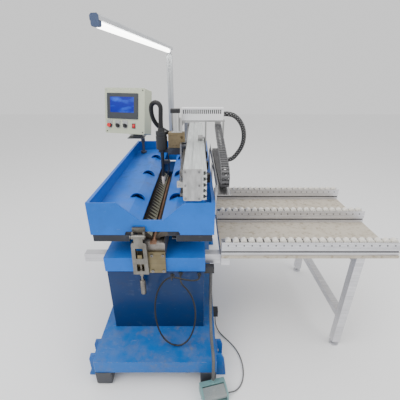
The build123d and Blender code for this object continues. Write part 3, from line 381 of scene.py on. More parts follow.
def metal_group():
    """Drawn or ground metal: grain lines along one direction, stains and small pits."""
    tree, given, out = new_group(
        "Ground_Metal",
        [("Metal", "color", (0.6, 0.6, 0.6, 1)), ("Stain", "color", (0.2, 0.16, 0.12, 1)),
         ("Grain", "vector", (400.0, 4.0, 400.0)), ("Stain Amount", "value", 0.3),
         ("Dust", "value", 0.0), ("Base Roughness", "value", 0.35)],
        [("Color", "color"), ("Roughness", "value"), ("Height", "value")])
    place = add(tree, "ShaderNodeTexCoord").outputs["Object"]
    along = add(tree, "ShaderNodeVectorMath", {0: place, 1: given["Grain"]}, operation="MULTIPLY").outputs[0]
    grain = noise(tree, along, 1.0, 3.0, 0.6)
    cloud = noise(tree, place, 11.0, 8.0, 0.68)
    stain = math_node(tree, "MULTIPLY", remap(tree, cloud, 0.44, 0.70), given["Stain Amount"], True)
    pits = remap(tree, noise(tree, place, 180.0, 2.0, 0.5), 0.66, 0.74)
    pits = math_node(tree, "MULTIPLY", pits, given["Stain Amount"], True)
    dark = mix(tree, remap(tree, grain, 0.35, 0.65, 0.30, 0.0), given["Metal"], GRAIN_TONE)
    stained = mix(tree, math_node(tree, "MAXIMUM", stain, pits), dark, given["Stain"])
    dusty = mix(tree, given["Dust"], stained, METAL_DUST)
    rough = math_node(tree, "ADD", given["Base Roughness"], remap(tree, grain, 0.3, 0.7, -0.06, 0.08))
    rough = math_node(tree, "ADD", rough, math_node(tree, "MULTIPLY", stain, 0.3))
    rough = math_node(tree, "ADD", rough, math_node(tree, "MULTIPLY", given["Dust"], 0.4), True)
    height = math_node(tree, "SUBTRACT", math_node(tree, "MULTIPLY", grain, 0.5), pits)
    return finish_group(tree, out, {"Color": dusty, "Roughness": rough, "Height": height})


def moulded_group():
    """Moulded plastic, rubber or board: fine texture, speckle and rubbed patches."""
    tree, given, out = new_group(
        "Moulded_Surface",
        [("Main", "color", (0.1, 0.1, 0.1, 1)), ("Speck", "color", (0.2, 0.2, 0.2, 1)),
         ("Speck Amount", "value", 0.2), ("Speck Scale", "value", 220.0), ("Dust", "value", 0.0),
         ("Base Roughness", "value", 0.5)],
        [("Color", "color"), ("Roughness", "value"), ("Height", "value")])
    place = add(tree, "ShaderNodeTexCoord").outputs["Object"]
    fine = noise(tree, place, given["Speck Scale"], 3.0, 0.6)
    rubbed = noise(tree, place, 22.0, 6.0, 0.65)
    speck = math_node(tree, "MULTIPLY", remap(tree, fine, 0.50, 0.68), given["Speck Amount"], True)
    patch = math_node(tree, "MULTIPLY", remap(tree, rubbed, 0.5, 0.72), given["Speck Amount"], True)
    patch = math_node(tree, "MULTIPLY", patch, 0.6)
    body = mix(tree, math_node(tree, "MAXIMUM", speck, patch), given["Main"], given["Speck"])
    dusty = mix(tree, given["Dust"], body, PLASTIC_DUST)
    rough = math_node(tree, "ADD", given["Base Roughness"], remap(tree, rubbed, 0.3, 0.7, -0.08, 0.12))
    rough = math_node(tree, "ADD", rough, math_node(tree, "MULTIPLY", given["Dust"], 0.3), True)
    return finish_group(tree, out, {"Color": dusty, "Roughness": rough, "Height": fine})


def braid_group():
    """Crossed strands round a hose, with their height."""
    tree, given, out = new_group(
        "Braided_Strands",
        [("Strand", "color", (0.06, 0.06, 0.06, 1)), ("Gap", "color", (0.005, 0.005, 0.005, 1)),
         ("Turns", "value", 4.0), ("Rows", "value", 26.0)],
        [("Color", "color"), ("Roughness", "value"), ("Height", "value")])
    laid_out = add(tree, "ShaderNodeTexCoord").outputs["UV"]
    unrolled = add(tree, "ShaderNodeSeparateXYZ", {0: laid_out}).outputs
    along = math_node(tree, "MULTIPLY", unrolled["X"], given["Rows"])
    around = math_node(tree, "MULTIPLY", unrolled["Y"], given["Turns"])
    waves = []
    for operation in ("ADD", "SUBTRACT"):
        phase = math_node(tree, "MULTIPLY", math_node(tree, operation, along, around), 2 * math.pi)
        waves.append(math_node(tree, "SINE", phase))
    strand = remap(tree, math_node(tree, "MINIMUM", *waves), -0.6, 0.3)
    body = mix(tree, strand, given["Gap"], given["Strand"])
    rough = remap(tree, strand, 0.0, 1.0, 0.75, 0.42)
    return finish_group(tree, out, {"Color": body, "Roughness": rough, "Height": strand})


GROUPS = {}


def group_node(tree, name, inputs):
    """A shared effect placed in a material with its own values."""
    return add(tree, "ShaderNodeGroup", inputs, node_tree=GROUPS[name])


def rgba(value):
    """A colour with full alpha."""
    return (*value[:3], 1.0)


# ---------------------------------------------------------------- materials

def start_material(name):
    """An empty finish, with its tree and its shader."""
    material = bpy.data.materials.new(name)
    material.use_nodes = True
    return material, material.node_tree, material.node_tree.nodes["Principled BSDF"]


def wire(tree, shader, node, bump):
    """Colour, roughness and height of an effect into the material's own shader."""
    tree.links.new(node.outputs["Color"], shader.inputs["Base Color"])
    tree.links.new(node.outputs["Roughness"], shader.inputs["Roughness"])
    relief = add(tree, "ShaderNodeBump", {"Height": node.outputs["Height"], "Strength": bump,
                                          "Distance": RELIEF_HEIGHT})
    tree.links.new(relief.outputs[0], shader.inputs["Normal"])


def edge_and_dust(tree, edge, dust):
    """Masks of worn edges and settled dust, where a finish has them."""
    masks = {}
    if edge:
        width = bpy.context.scene.seam_welder_sizes.edge_width
        worn = group_node(tree, "Worn_Edges", {"Width": width}).outputs["Mask"]
        masks["Edge"] = math_node(tree, "MULTIPLY", worn, edge, True)
    if dust:
        masks["Dust"] = group_node(tree, "Settled_Dust", {"Amount": dust}).outputs["Mask"]
    return masks


def paint(name, main, bare=(0.28, 0.28, 0.29), grime=(0.07, 0.06, 0.05), edge=0.8, dust=0.15,
          grime_amount=0.3, scratches=0.25, coat=0.04, bump=0.25, patch=None):
    """Painted steel with worn edges. patch is the centre, reach and strength of a soiled place."""
    material, tree, shader = start_material(name)
    if patch:
        centre, reach, strength = patch
        grime_amount = group_node(tree, "Soiled_Patch", {
            "Centre": centre, "Reach": reach, "Strength": strength,
            "Everywhere": grime_amount}).outputs["Mask"]
    node = group_node(tree, "Scuffed_Paint", {
        "Paint": rgba(main), "Bare": rgba(bare), "Grime": rgba(grime), "Grime Amount": grime_amount,
        "Scratches": scratches, **edge_and_dust(tree, edge, dust)})
    wire(tree, shader, node, bump)
    shader.inputs["Coat Weight"].default_value = coat
    shader.inputs["Coat Roughness"].default_value = COAT_ROUGHNESS
    shader.inputs["Specular IOR Level"].default_value = PAINT_SPECULAR
    return material


def metal(name, main, rough=0.32, stain=(0.10, 0.08, 0.06), stain_amount=0.3, grain=(260.0, 5.0, 260.0),
          dust=0.1, metallic=1.0, bump=0.2):
    """Bare metal with grain lines."""
    material, tree, shader = start_material(name)
    node = group_node(tree, "Ground_Metal", {
        "Metal": rgba(main), "Stain": rgba(stain), "Stain Amount": stain_amount, "Grain": grain,
        "Base Roughness": rough, **edge_and_dust(tree, 0.0, dust)})
    wire(tree, shader, node, bump)
    shader.inputs["Metallic"].default_value = metallic
    return material


def moulded(name, main, speck=None, amount=0.25, scale=220.0, rough=0.5, dust=0.12, bump=0.2):
    """Plastic, rubber or board."""
    material, tree, shader = start_material(name)
    speck = speck or tuple(min(1.0, c * 1.5 + 0.02) for c in main)
    node = group_node(tree, "Moulded_Surface", {
        "Main": rgba(main), "Speck": rgba(speck), "Speck Amount": amount, "Speck Scale": scale,
        "Base Roughness": rough, **edge_and_dust(tree, 0.0, dust)})
    wire(tree, shader, node, bump)
    shader.inputs["Specular IOR Level"].default_value = PLASTIC_SPECULAR
    return material


def glowing(name, main, glow, strength):
    """A lit tube."""
    material, _, shader = start_material(name)
    shader.inputs["Base Color"].default_value = rgba(main)
    shader.inputs["Roughness"].default_value = 0.3
    shader.inputs["Emission Color"].default_value = rgba(glow)
    shader.inputs["Emission Strength"].default_value = strength
    return material


def screen_material(strength):
    """Lit panel: deep blue with a paler sweep and faint cells."""
    material, tree, shader = start_material("Screen_Lit")
    place = add(tree, "ShaderNodeTexCoord").outputs["Object"]
    turned = add(tree, "ShaderNodeMapping", {"Vector": place, "Rotation": (0.0, 0.6, 0.0),
                                             "Scale": (9.0, 4.0, 26.0)}).outputs[0]
    sweep = remap(tree, noise(tree, turned, 1.1, 2.0, 0.4), 0.48, 0.70)
    cells = add(tree, "ShaderNodeTexBrick", {"Vector": place, "Scale": 34.0, "Mortar Size": 0.03,
                                             "Color1": (1, 1, 1, 1), "Color2": (0.82, 0.82, 0.82, 1),
                                             "Mortar": (0.6, 0.6, 0.6, 1)}).outputs["Color"]
    lit = mix(tree, sweep, (0.0, 0.006, 0.42, 1.0), (0.02, 0.13, 0.95, 1.0))
    lit = mix(tree, 0.25, lit, cells, "MULTIPLY")
    tree.links.new(lit, shader.inputs["Emission Color"])
    shader.inputs["Emission Strength"].default_value = strength
    shader.inputs["Base Color"].default_value = (0.0, 0.004, 0.03, 1.0)
    shader.inputs["Roughness"].default_value = 0.2
    shader.inputs["Specular IOR Level"].default_value = 0.15
    return material


def braid_material():
    """Dark braided sleeve of the hose at the duct's end."""
    material, tree, shader = start_material("Braided_Sleeve")
    node = group_node(tree, "Braided_Strands", {"Strand": (0.19, 0.19, 0.195, 1.0),
                                                "Gap": (0.003, 0.003, 0.003, 1.0)})
    wire(tree, shader, node, 0.9)
    return material


# ---------------------------------------------------------------- pieces

def finish(node, material):
    """The CAD piece takes this material all over."""
    data = NODES[node].data
    data.materials.clear()
    data.materials.append(material)
    for polygon in data.polygons:
        polygon.material_index = 0


def finish_where(node, material, test):
    """The faces of the CAD piece that pass the test take this material."""
    data = NODES[node].data
    data.materials.append(material)
    index = len(data.materials) - 1
    for polygon in data.polygons:
        if test(polygon.center, polygon.normal):
            polygon.material_index = index


def link(obj):
    """Put the object into the scene."""
    bpy.context.scene.collection.objects.link(obj)
    return obj


def bar_piece(name, centre, half, material, body):
    """A small block with softened edges."""
    corners = [(centre[0] + i * half[0], centre[1] + j * half[1], centre[2] + k * half[2])
               for i in (-1, 1) for j in (-1, 1) for k in (-1, 1)]
    mesh = bpy.data.meshes.new(name)
    mesh.from_pydata(corners, [], BLOCK_FACES)
    mesh.materials.append(material)
    obj = link(bpy.data.objects.new(name, mesh))
    bevel = obj.modifiers.new("soft_edges", "BEVEL")
    bevel.width = min(half) * SOFT_EDGE_SHARE
    bevel.segments = 2
    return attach(obj, body)


def round_curve(name, radius, roundness, material):
    """An empty curve whose lines are round bars with closed ends."""
    curve = bpy.data.curves.new(name, "CURVE")
    curve.dimensions = "3D"
    curve.bevel_depth = radius
    curve.bevel_resolution = roundness
    curve.use_fill_caps = True
    curve.materials.append(material)
    return curve


def cord_curve(name, route, radius, material):
    """A round cord along its route."""
    curve = round_curve(name, radius, 5, material)
    spline = curve.splines.new("NURBS")
    spline.points.add(len(route) - 1)
    for point, place in zip(spline.points, route):
        point.co = (*[c * MM for c in place], 1.0)
    spline.order_u = 3
    spline.use_endpoint_u = True
    curve.resolution_u = 10
    return link(bpy.data.objects.new(name, curve))


def smooth_route(route, steps=10):
    """Points along the line that a cord with this route follows."""
    points = [Vector(p) * MM for p in route]
    line = [points[0]]
    last = len(points) - 2
    for i in range(1, last + 1):
        start = points[0] if i == 1 else (points[i - 1] + points[i]) / 2
        end = points[-1] if i == last else (points[i] + points[i + 1]) / 2
        for step in range(1, steps + 1):
            t = step / steps
            line.append(start * (1 - t) ** 2 + points[i] * 2 * t * (1 - t) + end * t ** 2)
    return line


def beads(name, runs, radius, material, body):
    """Weld beads along straight runs."""
    curve = round_curve(name, radius, 2, material)
    for start, end in runs:
        count = max(8, int((end - start).length / BEAD_RIPPLE))
        spline = curve.splines.new("POLY")
        spline.points.add(count)
        for i, point in enumerate(spline.points):
            point.co = (*(start + (end - start) * i / count), 1.0)
            point.radius = 1.0 if i % 2 else BEAD_WAIST
    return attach(link(bpy.data.objects.new(name, curve)), body)


class SEAMWELDER_OT_effects(bpy.types.Operator):
    """Build the shared effects that the finishes use"""
    bl_idname = "seam_welder.effects"
    bl_label = "Shared effects"

    def execute(self, context):
        for build in (worn_edge_group, dust_group, patch_group, paint_group, metal_group, moulded_group,
                      braid_group):
            effect = build()
            GROUPS[effect.name] = effect
        return {"FINISHED"}


class SEAMWELDER_OT_body(bpy.types.Operator):
    """Paint the base, column, bed and trough, and lay the weld beads"""
    bl_idname = "seam_welder.body"
    bl_label = "Base, column and trough"

    def execute(self, context):
        colours = context.scene.seam_welder_colours
        sizes = context.scene.seam_welder_sizes
        rim = (0.09, 0.075, 0.06)
        base = paint("Blue_Base", colours.base_blue, grime=(0.20, 0.15, 0.05), grime_amount=0.25, dust=0.22,
                     scratches=0.3, patch=((0.10, -0.52, 0.151), 0.22, 0.6))
        # Painted shade: the cabinet and the rear column take the darkened blue for the shadow under the
        # trough.
        column = paint("Blue_Column_Painted_Shade", colours.painted_shade_blue, grime=(0.03, 0.03, 0.035), grime_amount=0.3,
                       dust=0.05, edge=0.5, scratches=0.15)
        sheet = paint("Blue_Sheet", colours.blue, bare=rim, grime=(0.03, 0.05, 0.10), grime_amount=0.16,
                      dust=0.10, scratches=0.2)
        cover = paint("Blue_Cover", colours.blue, grime=(0.10, 0.11, 0.13), grime_amount=0.22, dust=0.16,
                      scratches=0.35, patch=((-0.09, 0.20, 0.80), 0.34, 0.9))
        for nodes, material in ((("base_frame",), base), (("cabinet", "rear_column"), column),
                                (("lower_bed", "trough"), sheet), (("left_cover", "right_cover"), cover)):
            for node in nodes:
                finish(node, material)
        finish("feet", paint("Foot_Steel", (0.05, 0.05, 0.052), edge=0.5, dust=0.3))
        finish("frame_screws", metal("Screw_Heads", (0.34, 0.34, 0.35), 0.35, stain_amount=0.6))
        low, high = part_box("trough")
        runs = [(Vector((x, y, low.z + BEAD_FOOT)), Vector((x, y, high.z - BEAD_TOP_GAP)))
                for x in (low.x + BEAD_INSET, high.x - BEAD_INSET)
                for y in (low.y + BEAD_INSET, high.y - BEAD_INSET)]
        beads("trough_beads", runs, sizes.bead, sheet, "frame")
        return {"FINISHED"}


class SEAMWELDER_OT_clamps(bpy.types.Operator):
    """Finish the clamp beams, fingers, mandrel, nose plate and latch"""
    bl_idname = "seam_welder.clamps"
    bl_label = "Clamps and latch"

    def execute(self, context):
        finger = metal("Finger_Steel", (0.13, 0.115, 0.10), 0.5, stain=(0.09, 0.05, 0.03),
                       stain_amount=0.6, dust=0.12)
        tip = metal("Finger_Tip", (0.62, 0.62, 0.46), 0.45, stain=(0.26, 0.22, 0.14), stain_amount=0.45,
                    metallic=0.5)
        finish("clamp_beams", paint("Clamp_Black", (0.02, 0.02, 0.022), edge=0.5, dust=0.2))
        for node in ("left_fingers", "right_fingers"):
            finish(node, finger)
        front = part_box("left_fingers")[1].x
        back, fore = FINGER_TIP_SPAN

        def on_tip(at, out):
            return front - back < at.x < front - fore and out.z > FINGER_TIP_SLOPE

        finish_where("left_fingers", tip, on_tip)
        finish("mandrel", metal("Mandrel_Steel", (0.36, 0.34, 0.32), 0.4, stain_amount=0.5))
        finish("backing_bar", metal("Backing_Copper", (0.34, 0.18, 0.11), 0.4, stain_amount=0.7))
        finish("nose_plate", metal("Nose_Plate", (0.27, 0.225, 0.13), 0.42, stain=(0.12, 0.09, 0.05),
                                   stain_amount=0.45, grain=(5.0, 200.0, 200.0)))
        zinc = metal("Latch_Zinc", (0.27, 0.26, 0.235), 0.42, stain=(0.10, 0.085, 0.06), stain_amount=0.55,
                     grain=(200.0, 200.0, 6.0))
        for node in ("latch_clevis", "latch_link", "clamp_block"):
            finish(node, zinc)
        finish("latch_screw", metal("Latch_Screw", (0.27, 0.25, 0.22), 0.38, stain_amount=0.6,
                                    grain=(200.0, 200.0, 20.0)))
        return {"FINISHED"}


class SEAMWELDER_OT_beam(bpy.types.Operator):
    """Finish the beam, its end plates, the guide rails and the travel drive"""
    bl_idname = "seam_welder.beam"
    bl_label = "Beam and travel drive"

    def execute(self, context):
        finish("beam", metal("Beam_Aluminium", (0.74, 0.77, 0.76), 0.42, stain=(0.42, 0.43, 0.42),
                             stain_amount=0.3, metallic=0.75))
        finish("beam_ends", metal("End_Plate", (0.56, 0.56, 0.56), 0.38, stain=(0.20, 0.20, 0.20),
                                  stain_amount=0.5, grain=(60.0, 200.0, 14.0)))
        finish("guide_rails", metal("Rail_Steel", (0.16, 0.16, 0.165), 0.28, stain_amount=0.2))
        finish("bearing_blocks", paint("Block_Black", (0.03, 0.03, 0.032), edge=0.6))
        finish("travel_screw", metal("Screw_Shaft", (0.45, 0.45, 0.46), 0.22, stain_amount=0.2))
        self.switches(moulded("Limit_Switch", (0.02, 0.02, 0.022), rough=0.5),
                      metal("Switch_Plate", (0.42, 0.42, 0.42), 0.4))
        finish("drive_motor", paint("Motor_Black", (0.028, 0.028, 0.03), edge=0.3, dust=0.3))
        return {"FINISHED"}

    def switches(self, dark, bright):
        """Travel switches and their plates along the right side of the beam."""
        low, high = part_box("beam")
        for number, share in enumerate(SWITCH_SHARES):
            y = low.y + (high.y - low.y) * share
            top = high.z - SWITCH_STAGGER * (number % 2)
            plate = bar_piece("switch_plate_%d" % number, (high.x + PLATE_OUT, y, top - PLATE_DROP),
                              PLATE_HALF, bright, "frame")
            case = bar_piece("travel_switch_%d" % number,
                             (high.x + CASE_OUT, y + CASE_ALONG, top - CASE_DROP),
                             CASE_HALF, dark, "frame")


class SEAMWELDER_OT_torch(bpy.types.Operator):
    """Finish the torch carriage, its lift and the torch"""
    bl_idname = "seam_welder.torch"
    bl_label = "Torch carriage"

    def execute(self, context):
        colours = context.scene.seam_welder_colours
        finish("carriage_plate", metal("Carriage_Plate", (0.40, 0.40, 0.41), 0.4, stain_amount=0.3))
        finish("lift_housing", metal("Bronze_Block", colours.bronze, 0.46, stain=(0.12, 0.09, 0.05),
                                     stain_amount=0.4, grain=(90.0, 60.0, 90.0), metallic=0.7))
        finish("lift_motor", metal("Motor_Silver", (0.72, 0.72, 0.71), 0.3, stain_amount=0.1,
                                   grain=(300.0, 300.0, 4.0)))
        black = moulded("Motor_Cap", (0.022, 0.022, 0.024), rough=0.42)
        cap_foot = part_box("lift_motor")[1].z - MOTOR_CAP_HEIGHT
        finish_where("lift_motor", black, lambda at, out: at.z > cap_foot)
        finish("torch_bracket", paint("Bracket_Black", (0.025, 0.025, 0.027), edge=0.5))
        finish("torch_body", moulded("Torch_Black", (0.024, 0.025, 0.027), rough=0.45))
        copper = metal("Torch_Copper", (0.62, 0.34, 0.22), 0.3, stain_amount=0.4)
        finish_where("torch_body", copper, lambda at, out: at.z < TORCH_COLLAR_Z)
        finish("torch_nozzle", moulded("Nozzle_Ceramic", (0.80, 0.72, 0.66), rough=0.5, amount=0.2))
        finish("cable_arm", metal("Arm_Zinc", (0.52, 0.52, 0.52), 0.4, stain_amount=0.3))
        return {"FINISHED"}


class SEAMWELDER_OT_cable_carrier(bpy.types.Operator):
    """Finish the slotted duct and the chain tray, and bend the cable chain between its ends"""
    bl_idname = "seam_welder.cable_carrier"
    bl_label = "Duct and cable chain"

    def execute(self, context):
        finish("duct", moulded("Duct_White", (0.80, 0.80, 0.81), (0.55, 0.55, 0.56), rough=0.5,
                               amount=0.15))
        # Faces inside the duct, the cable bundle among them, go near black. This is partly the black cables
        # and partly painted shade in the duct's hollow, seen through the slots.
        wires_and_shade = moulded("Duct_Wires_And_Shade", (0.02, 0.02, 0.024), rough=0.5, dust=0.0)
        low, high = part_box("duct")

        def in_duct(at, out):
            return (low.x + DUCT_END_GAP < at.x < high.x - DUCT_RIM
                    and low.y + DUCT_WALL < at.y < high.y - DUCT_WALL
                    and low.z + DUCT_WALL < at.z < high.z - DUCT_RIM)

        finish_where("duct", wires_and_shade, in_duct)
        finish("chain_tray", metal("Tray_Steel", (0.58, 0.58, 0.59), 0.36, stain_amount=0.35))
        chain = self.links(moulded("Chain_Grey", (0.085, 0.085, 0.09), (0.20, 0.20, 0.21), rough=0.5))
        low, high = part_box("drag_chain")
        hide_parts("drag_chain")
        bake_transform(chain)
        return {"FINISHED"}

    def marks(self):
        """Middle and direction of each link, one pitch apart along the chain's line."""
        line = smooth_route([(CHAIN_X, y, z) for y, z in CHAIN_ROUTE], LINK_LINE_STEPS)
        marks, travelled, due = [], 0.0, LINK_PITCH / 2
        for start, end in zip(line, line[1:]):
            step = (end - start).length
            while due <= travelled + step:
                marks.append((start.lerp(end, (due - travelled) / step), (end - start).normalized()))
                due += LINK_PITCH
            travelled += step
        return marks

    def links(self, material):
        """Side plates, cross bars and the carried cables, link by link along the chain's line."""
        across = Vector((1, 0, 0))
        vertices, faces = [], []

        def bar(centre, along, up, half):
            first = len(vertices)
            vertices.extend(centre + across * i * half[0] + along * j * half[1] + up * k * half[2]
                            for i in (-1, 1) for j in (-1, 1) for k in (-1, 1))
            faces.extend([first + corner for corner in face] for face in BLOCK_FACES)

        for number, (centre, along) in enumerate(self.marks()):
            up = across.cross(along)
            tuck = LINK_TUCK if number % 2 else 0.0
            for side in (-1, 1):
                bar(centre + across * side * (LINK_HALF_WIDTH - SIDE_INSET - tuck), along, up,
                    (SIDE_HALF, SIDE_REACH, LINK_HALF_HEIGHT - tuck))
                bar(centre + up * side * (LINK_HALF_HEIGHT - RUNG_INSET), along, up,
                    (LINK_HALF_WIDTH - RUNG_END_GAP, RUNG_REACH, RUNG_HALF))
                bar(centre + across * side * INNER_CABLE_OUT, along, up,
                    INNER_CABLE_HALF)
        mesh = bpy.data.meshes.new("cable_chain")
        mesh.from_pydata([tuple(v) for v in vertices], [], faces)
        mesh.materials.append(material)
        return link(bpy.data.objects.new("cable_chain", mesh))


class SEAMWELDER_OT_control_box(bpy.types.Operator):
    """Finish the control box, its lit screen and its switches"""
    bl_idname = "seam_welder.control_box"
    bl_label = "Control box"

    def execute(self, context):
        colours = context.scene.seam_welder_colours
        sizes = context.scene.seam_welder_sizes
        finish("panel_post", paint("Post_Dark", (0.10, 0.10, 0.105), edge=0.4))
        finish("panel_swivel", paint("Swivel_Dark", (0.09, 0.09, 0.095), edge=0.4))
        finish("panel_box", moulded("Box_Cream", colours.cream, (0.50, 0.50, 0.43), rough=0.42,
                                    amount=0.15))
        finish("touch_screen", moulded("Bezel_Slate", (0.028, 0.033, 0.042), rough=0.4, amount=0.12))
        finish("screen_glass", screen_material(sizes.screen_strength))
        dark = moulded("Switch_Black", (0.022, 0.022, 0.024), rough=0.35)
        legend = metal("Legend_Silver", (0.36, 0.37, 0.37), 0.36, stain_amount=0.1)
        red = moulded("Switch_Red", colours.red, (0.75, 0.10, 0.08), rough=0.28, amount=0.1, dust=0.0)
        for node in ("control_bodies", "mode_selector", "feed_selector"):
            finish(node, dark)
        for node in ("stop_button", "power_rocker"):
            finish(node, red)
        to_box = BOX_PLACE.inverted()

        def on_plate(at, out):
            place = to_box @ at
            return (place.y > LEGEND_FRONT and place.z > LEGEND_MIDDLE_Z - LEGEND_HALF_HEIGHT
                    and place.x < LEGEND_END_X)

        finish_where("control_bodies", legend, on_plate)
        return {"FINISHED"}


class SEAMWELDER_OT_lamp(bpy.types.Operator):
    """Finish the lamp, its post and the light tube"""
    bl_idname = "seam_welder.lamp"
    bl_label = "Lamp"

    def execute(self, context):
        sizes = context.scene.seam_welder_sizes
        finish("lamp_post", metal("Post_Aluminium", (0.72, 0.74, 0.75), 0.38, stain_amount=0.1,
                                  grain=(240.0, 240.0, 5.0)))
        finish("lamp_housing", paint("Lamp_White", (0.66, 0.67, 0.68), edge=0.2, grime_amount=0.1,
                                     scratches=0.1))
        cap = moulded("Lamp_Cap", (0.035, 0.06, 0.13), rough=0.4)
        cap_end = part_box("lamp_housing")[0].y + LAMP_CAP_DEPTH
        finish_where("lamp_housing", cap, lambda at, out: at.y < cap_end)
        finish("lamp_tube", glowing("Tube_Glow", (0.95, 0.97, 1.0), (1.0, 0.99, 0.95),
                                    sizes.lamp_strength))
        return {"FINISHED"}


class SEAMWELDER_OT_table(bpy.types.Operator):
    """Finish the roller table"""
    bl_idname = "seam_welder.table"
    bl_label = "Roller table"

    def execute(self, context):
        colours = context.scene.seam_welder_colours
        profile = metal("Rail_Profile", (0.74, 0.74, 0.77), 0.36, stain=(0.4, 0.4, 0.42), stain_amount=0.25,
                        grain=(4.0, 260.0, 260.0), metallic=0.8)
        finish("table_rails", profile)
        finish("table_frame", profile)
        self.grooves(moulded("Groove_Shade", (0.10, 0.10, 0.105), rough=0.6, dust=0.0))
        self.rivets(moulded("Rivet_Dark", (0.03, 0.03, 0.032), rough=0.5, dust=0.0))
        finish("rollers", moulded("Roller_Cream", (0.78, 0.75, 0.68), (0.5, 0.46, 0.38), rough=0.4,
                                  amount=0.2))
        finish("table_deck", moulded("Deck_Board", colours.board, (0.30, 0.25, 0.18), rough=0.7,
                                     amount=0.8, scale=48.0, dust=0.0))
        return {"FINISHED"}

    def grooves(self, material):
        """The side grooves of the slotted profile lie in shade."""
        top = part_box("table_rails")[1].z
        foot, head = GROOVE_SPAN

        def in_groove(at, out):
            aside = min(abs(abs(at.y - y * MM) - GROOVE_FLOOR) for y in TRACK_Y)
            return top - foot < at.z < top - head and aside < GROOVE_DEPTH

        finish_where("table_rails", material, in_groove)

    def rivets(self, material):
        """Rivet heads under the rollers, on both sides of each track."""
        rivet_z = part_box("table_rails")[1].z - RIVET_DROP * MM
        low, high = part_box("rollers")
        count = int((high.x - low.x) / MM / TRACK_PITCH) + 1
        first = low.x + TRACK_WHEEL_R * MM
        curve = round_curve("track_rivets", RIVET_RADIUS * MM, 3, material)
        for y in TRACK_Y:
            for i in range(count):
                for side in (-1, 1):
                    spline = curve.splines.new("POLY")
                    spline.points.add(1)
                    for point, out in zip(spline.points, RIVET_ENDS):
                        point.co = (first + i * TRACK_PITCH * MM, (y + side * out) * MM, rivet_z, 1.0)
        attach(link(bpy.data.objects.new("track_rivets", curve)), "frame")


class SEAMWELDER_OT_foot_switch(bpy.types.Operator):
    """Finish the foot switch and the cable glands"""
    bl_idname = "seam_welder.foot_switch"
    bl_label = "Foot switch"

    def execute(self, context):
        colours = context.scene.seam_welder_colours
        finish("pedal_base", paint("Switch_Teal", colours.teal, grime=(0.06, 0.08, 0.08), grime_amount=0.4,
                                   dust=0.3, bump=0.5))
        finish("pedal_treadle", moulded("Treadle_Grey", (0.20, 0.23, 0.235), rough=0.6, amount=0.4,
                                        dust=0.4))
        finish("cable_fittings", moulded("Gland_Black", (0.03, 0.03, 0.032), rough=0.45))
        return {"FINISHED"}


class SEAMWELDER_OT_cords(bpy.types.Operator):
    """Lay the cables and hoses"""
    bl_idname = "seam_welder.cords"
    bl_label = "Cords"

    def execute(self, context):
        rubber = moulded("Cable_Black", (0.009, 0.009, 0.010), rough=0.5, amount=0.3)
        grey = moulded("Conduit_Grey", (0.075, 0.075, 0.078), (0.18, 0.175, 0.16), rough=0.6, amount=0.5)
        pale = moulded("Cable_Grey", (0.10, 0.10, 0.105), rough=0.5)
        loop = [(x, LOOP_Y + y, z) for x, y, z in LOOP_ROUTE]
        self.lay("pedal_hose", PEDAL_ROUTE, PEDAL_RADIUS, grey, "frame", "medium", "hanging")
        self.lay("loop_cable", loop, LOOP_RADIUS, rubber, "frame", "medium", "hanging")
        self.lay("floor_cable", FLOOR_ROUTE, FLOOR_RADIUS, pale, "frame", "medium", "loose")
        self.lay("braided_hose", BRAID_ROUTE, BRAID_RADIUS, braid_material(), "carriage", "limp",
                 "hanging")
        self.torch_hose(rubber)
        return {"FINISHED"}

    def lay(self, node, route, radius, material, body, stiffness, lay):
        """A cord in place of its node, on one body."""
        cord = cord_curve(node + "_run", route, radius * MM, material)
        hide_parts(node)
        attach(cord, body)

    def torch_hose(self, material):
        """The hose bends as the torch goes down; here it is laid along its route and turned into one mesh.
        """
        radius = TORCH_RADIUS * MM
        curve = cord_curve("torch_hose_line", TORCH_ROUTE, radius, material)
        bpy.context.view_layer.update()
        shape = curve.evaluated_get(bpy.context.evaluated_depsgraph_get())
        hose = link(bpy.data.objects.new("torch_hose_run", bpy.data.meshes.new_from_object(shape)))
        bpy.data.objects.remove(curve)
        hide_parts("torch_hose")
        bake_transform(hose)


class SEAMWELDER_OT_stage(bpy.types.Operator):
    """Set the floor, the soft lights and the camera"""
    bl_idname = "seam_welder.stage"
    bl_label = "Stage"

    def execute(self, context):
        low, high = CAD_BOUNDS
        centre = (Vector(low) + Vector(high)) / 2
        floor = bpy.data.meshes.new("floor")
        corners = [(i * FLOOR_REACH, j * FLOOR_REACH, 0) for i, j in ((-1, -1), (1, -1), (1, 1), (-1, 1))]
        floor.from_pydata(corners, [], [(0, 1, 2, 3)])
        material, _, shader = start_material("Floor_Pale")
        shader.inputs["Base Color"].default_value = (0.92, 0.92, 0.92, 1.0)
        shader.inputs["Roughness"].default_value = 0.85
        floor.materials.append(material)
        ground = link(bpy.data.objects.new("stage_floor", floor))
        ground.location.z = low[2] - FLOOR_GAP
        [self.area(name, centre, *values) for name, values in LIGHTS.items()]
        world = bpy.data.worlds.new("studio")
        bpy.context.scene.world = world
        world.use_nodes = True
        sky = world.node_tree.nodes["Background"].inputs
        sky["Color"].default_value = (1.0, 1.0, 1.0, 1.0)
        sky["Strength"].default_value = 1.0
        self.camera()
        return {"FINISHED"}

    def area(self, name, target, place, size, power):
        """A square soft light that faces the machine."""
        data = bpy.data.lights.new(name, "AREA")
        data.size = size
        data.energy = power
        light = link(bpy.data.objects.new(name, data))
        light.location = place
        light.rotation_euler = (target - Vector(place)).to_track_quat("-Z", "Y").to_euler()
        return light

    def camera(self):
        """A level camera in front of the machine, tipped down at it."""
        data = bpy.data.cameras.new("front_camera")
        data.sensor_width = 36.0
        data.lens = CAMERA_LENS
        data.shift_x, data.shift_y = CAMERA_SHIFT
        data.clip_end = 60.0
        camera = link(bpy.data.objects.new("front_camera", data))
        camera.location = CAMERA_PLACE
        camera.rotation_euler = (CAMERA_TILT, 0.0, 0.0)
        bpy.context.scene.camera = camera


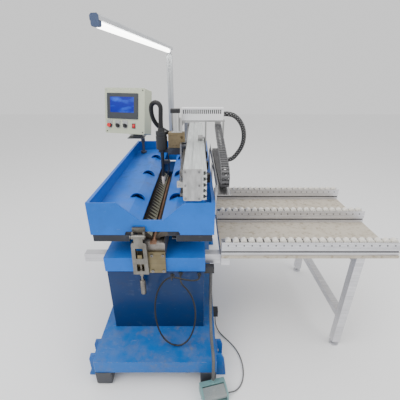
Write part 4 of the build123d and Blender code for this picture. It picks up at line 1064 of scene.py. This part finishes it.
# The sidebar lists the steps in the order in which they run.
STEPS = [SEAMWELDER_OT_effects, SEAMWELDER_OT_stage, SEAMWELDER_OT_cords, SEAMWELDER_OT_body,
         SEAMWELDER_OT_clamps, SEAMWELDER_OT_beam, SEAMWELDER_OT_torch, SEAMWELDER_OT_cable_carrier,
         SEAMWELDER_OT_control_box, SEAMWELDER_OT_lamp, SEAMWELDER_OT_table, SEAMWELDER_OT_foot_switch]


class SEAMWELDER_PT_panel(bpy.types.Panel):
    """Lists the steps, sizes and colours"""
    bl_idname = "SEAMWELDER_PT_panel"
    bl_label = "Seam Welder"
    bl_space_type = "VIEW_3D"
    bl_region_type = "UI"
    bl_category = "Seam Welder"

    def draw(self, context):
        for step in STEPS:
            self.layout.operator(step.bl_idname)
        for settings in (context.scene.seam_welder_sizes, context.scene.seam_welder_colours):
            box = self.layout.box()
            for name in type(settings).__annotations__:
                box.prop(settings, name)


CLASSES = [SeamWelderColours, SeamWelderSizes, *STEPS, SEAMWELDER_PT_panel]


def register():
    """Register the classes and hang the settings on the scene."""
    for cls in CLASSES:
        bpy.utils.register_class(cls)
    bpy.types.Scene.seam_welder_colours = PointerProperty(type=SeamWelderColours)
    bpy.types.Scene.seam_welder_sizes = PointerProperty(type=SeamWelderSizes)


def unregister():
    """Take the settings off the scene and the classes out again."""
    del bpy.types.Scene.seam_welder_sizes
    del bpy.types.Scene.seam_welder_colours
    for cls in reversed(CLASSES):
        bpy.utils.unregister_class(cls)


def main():
    """Run the steps in order."""
    register()
    bpy.ops.seam_welder.effects()
    bpy.ops.seam_welder.stage()
    bpy.ops.seam_welder.cords()
    bpy.ops.seam_welder.body()
    bpy.ops.seam_welder.clamps()
    bpy.ops.seam_welder.beam()
    bpy.ops.seam_welder.torch()
    bpy.ops.seam_welder.cable_carrier()
    bpy.ops.seam_welder.control_box()
    bpy.ops.seam_welder.lamp()
    bpy.ops.seam_welder.table()
    bpy.ops.seam_welder.foot_switch()
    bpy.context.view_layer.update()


if __name__ == "__main__":
    main()
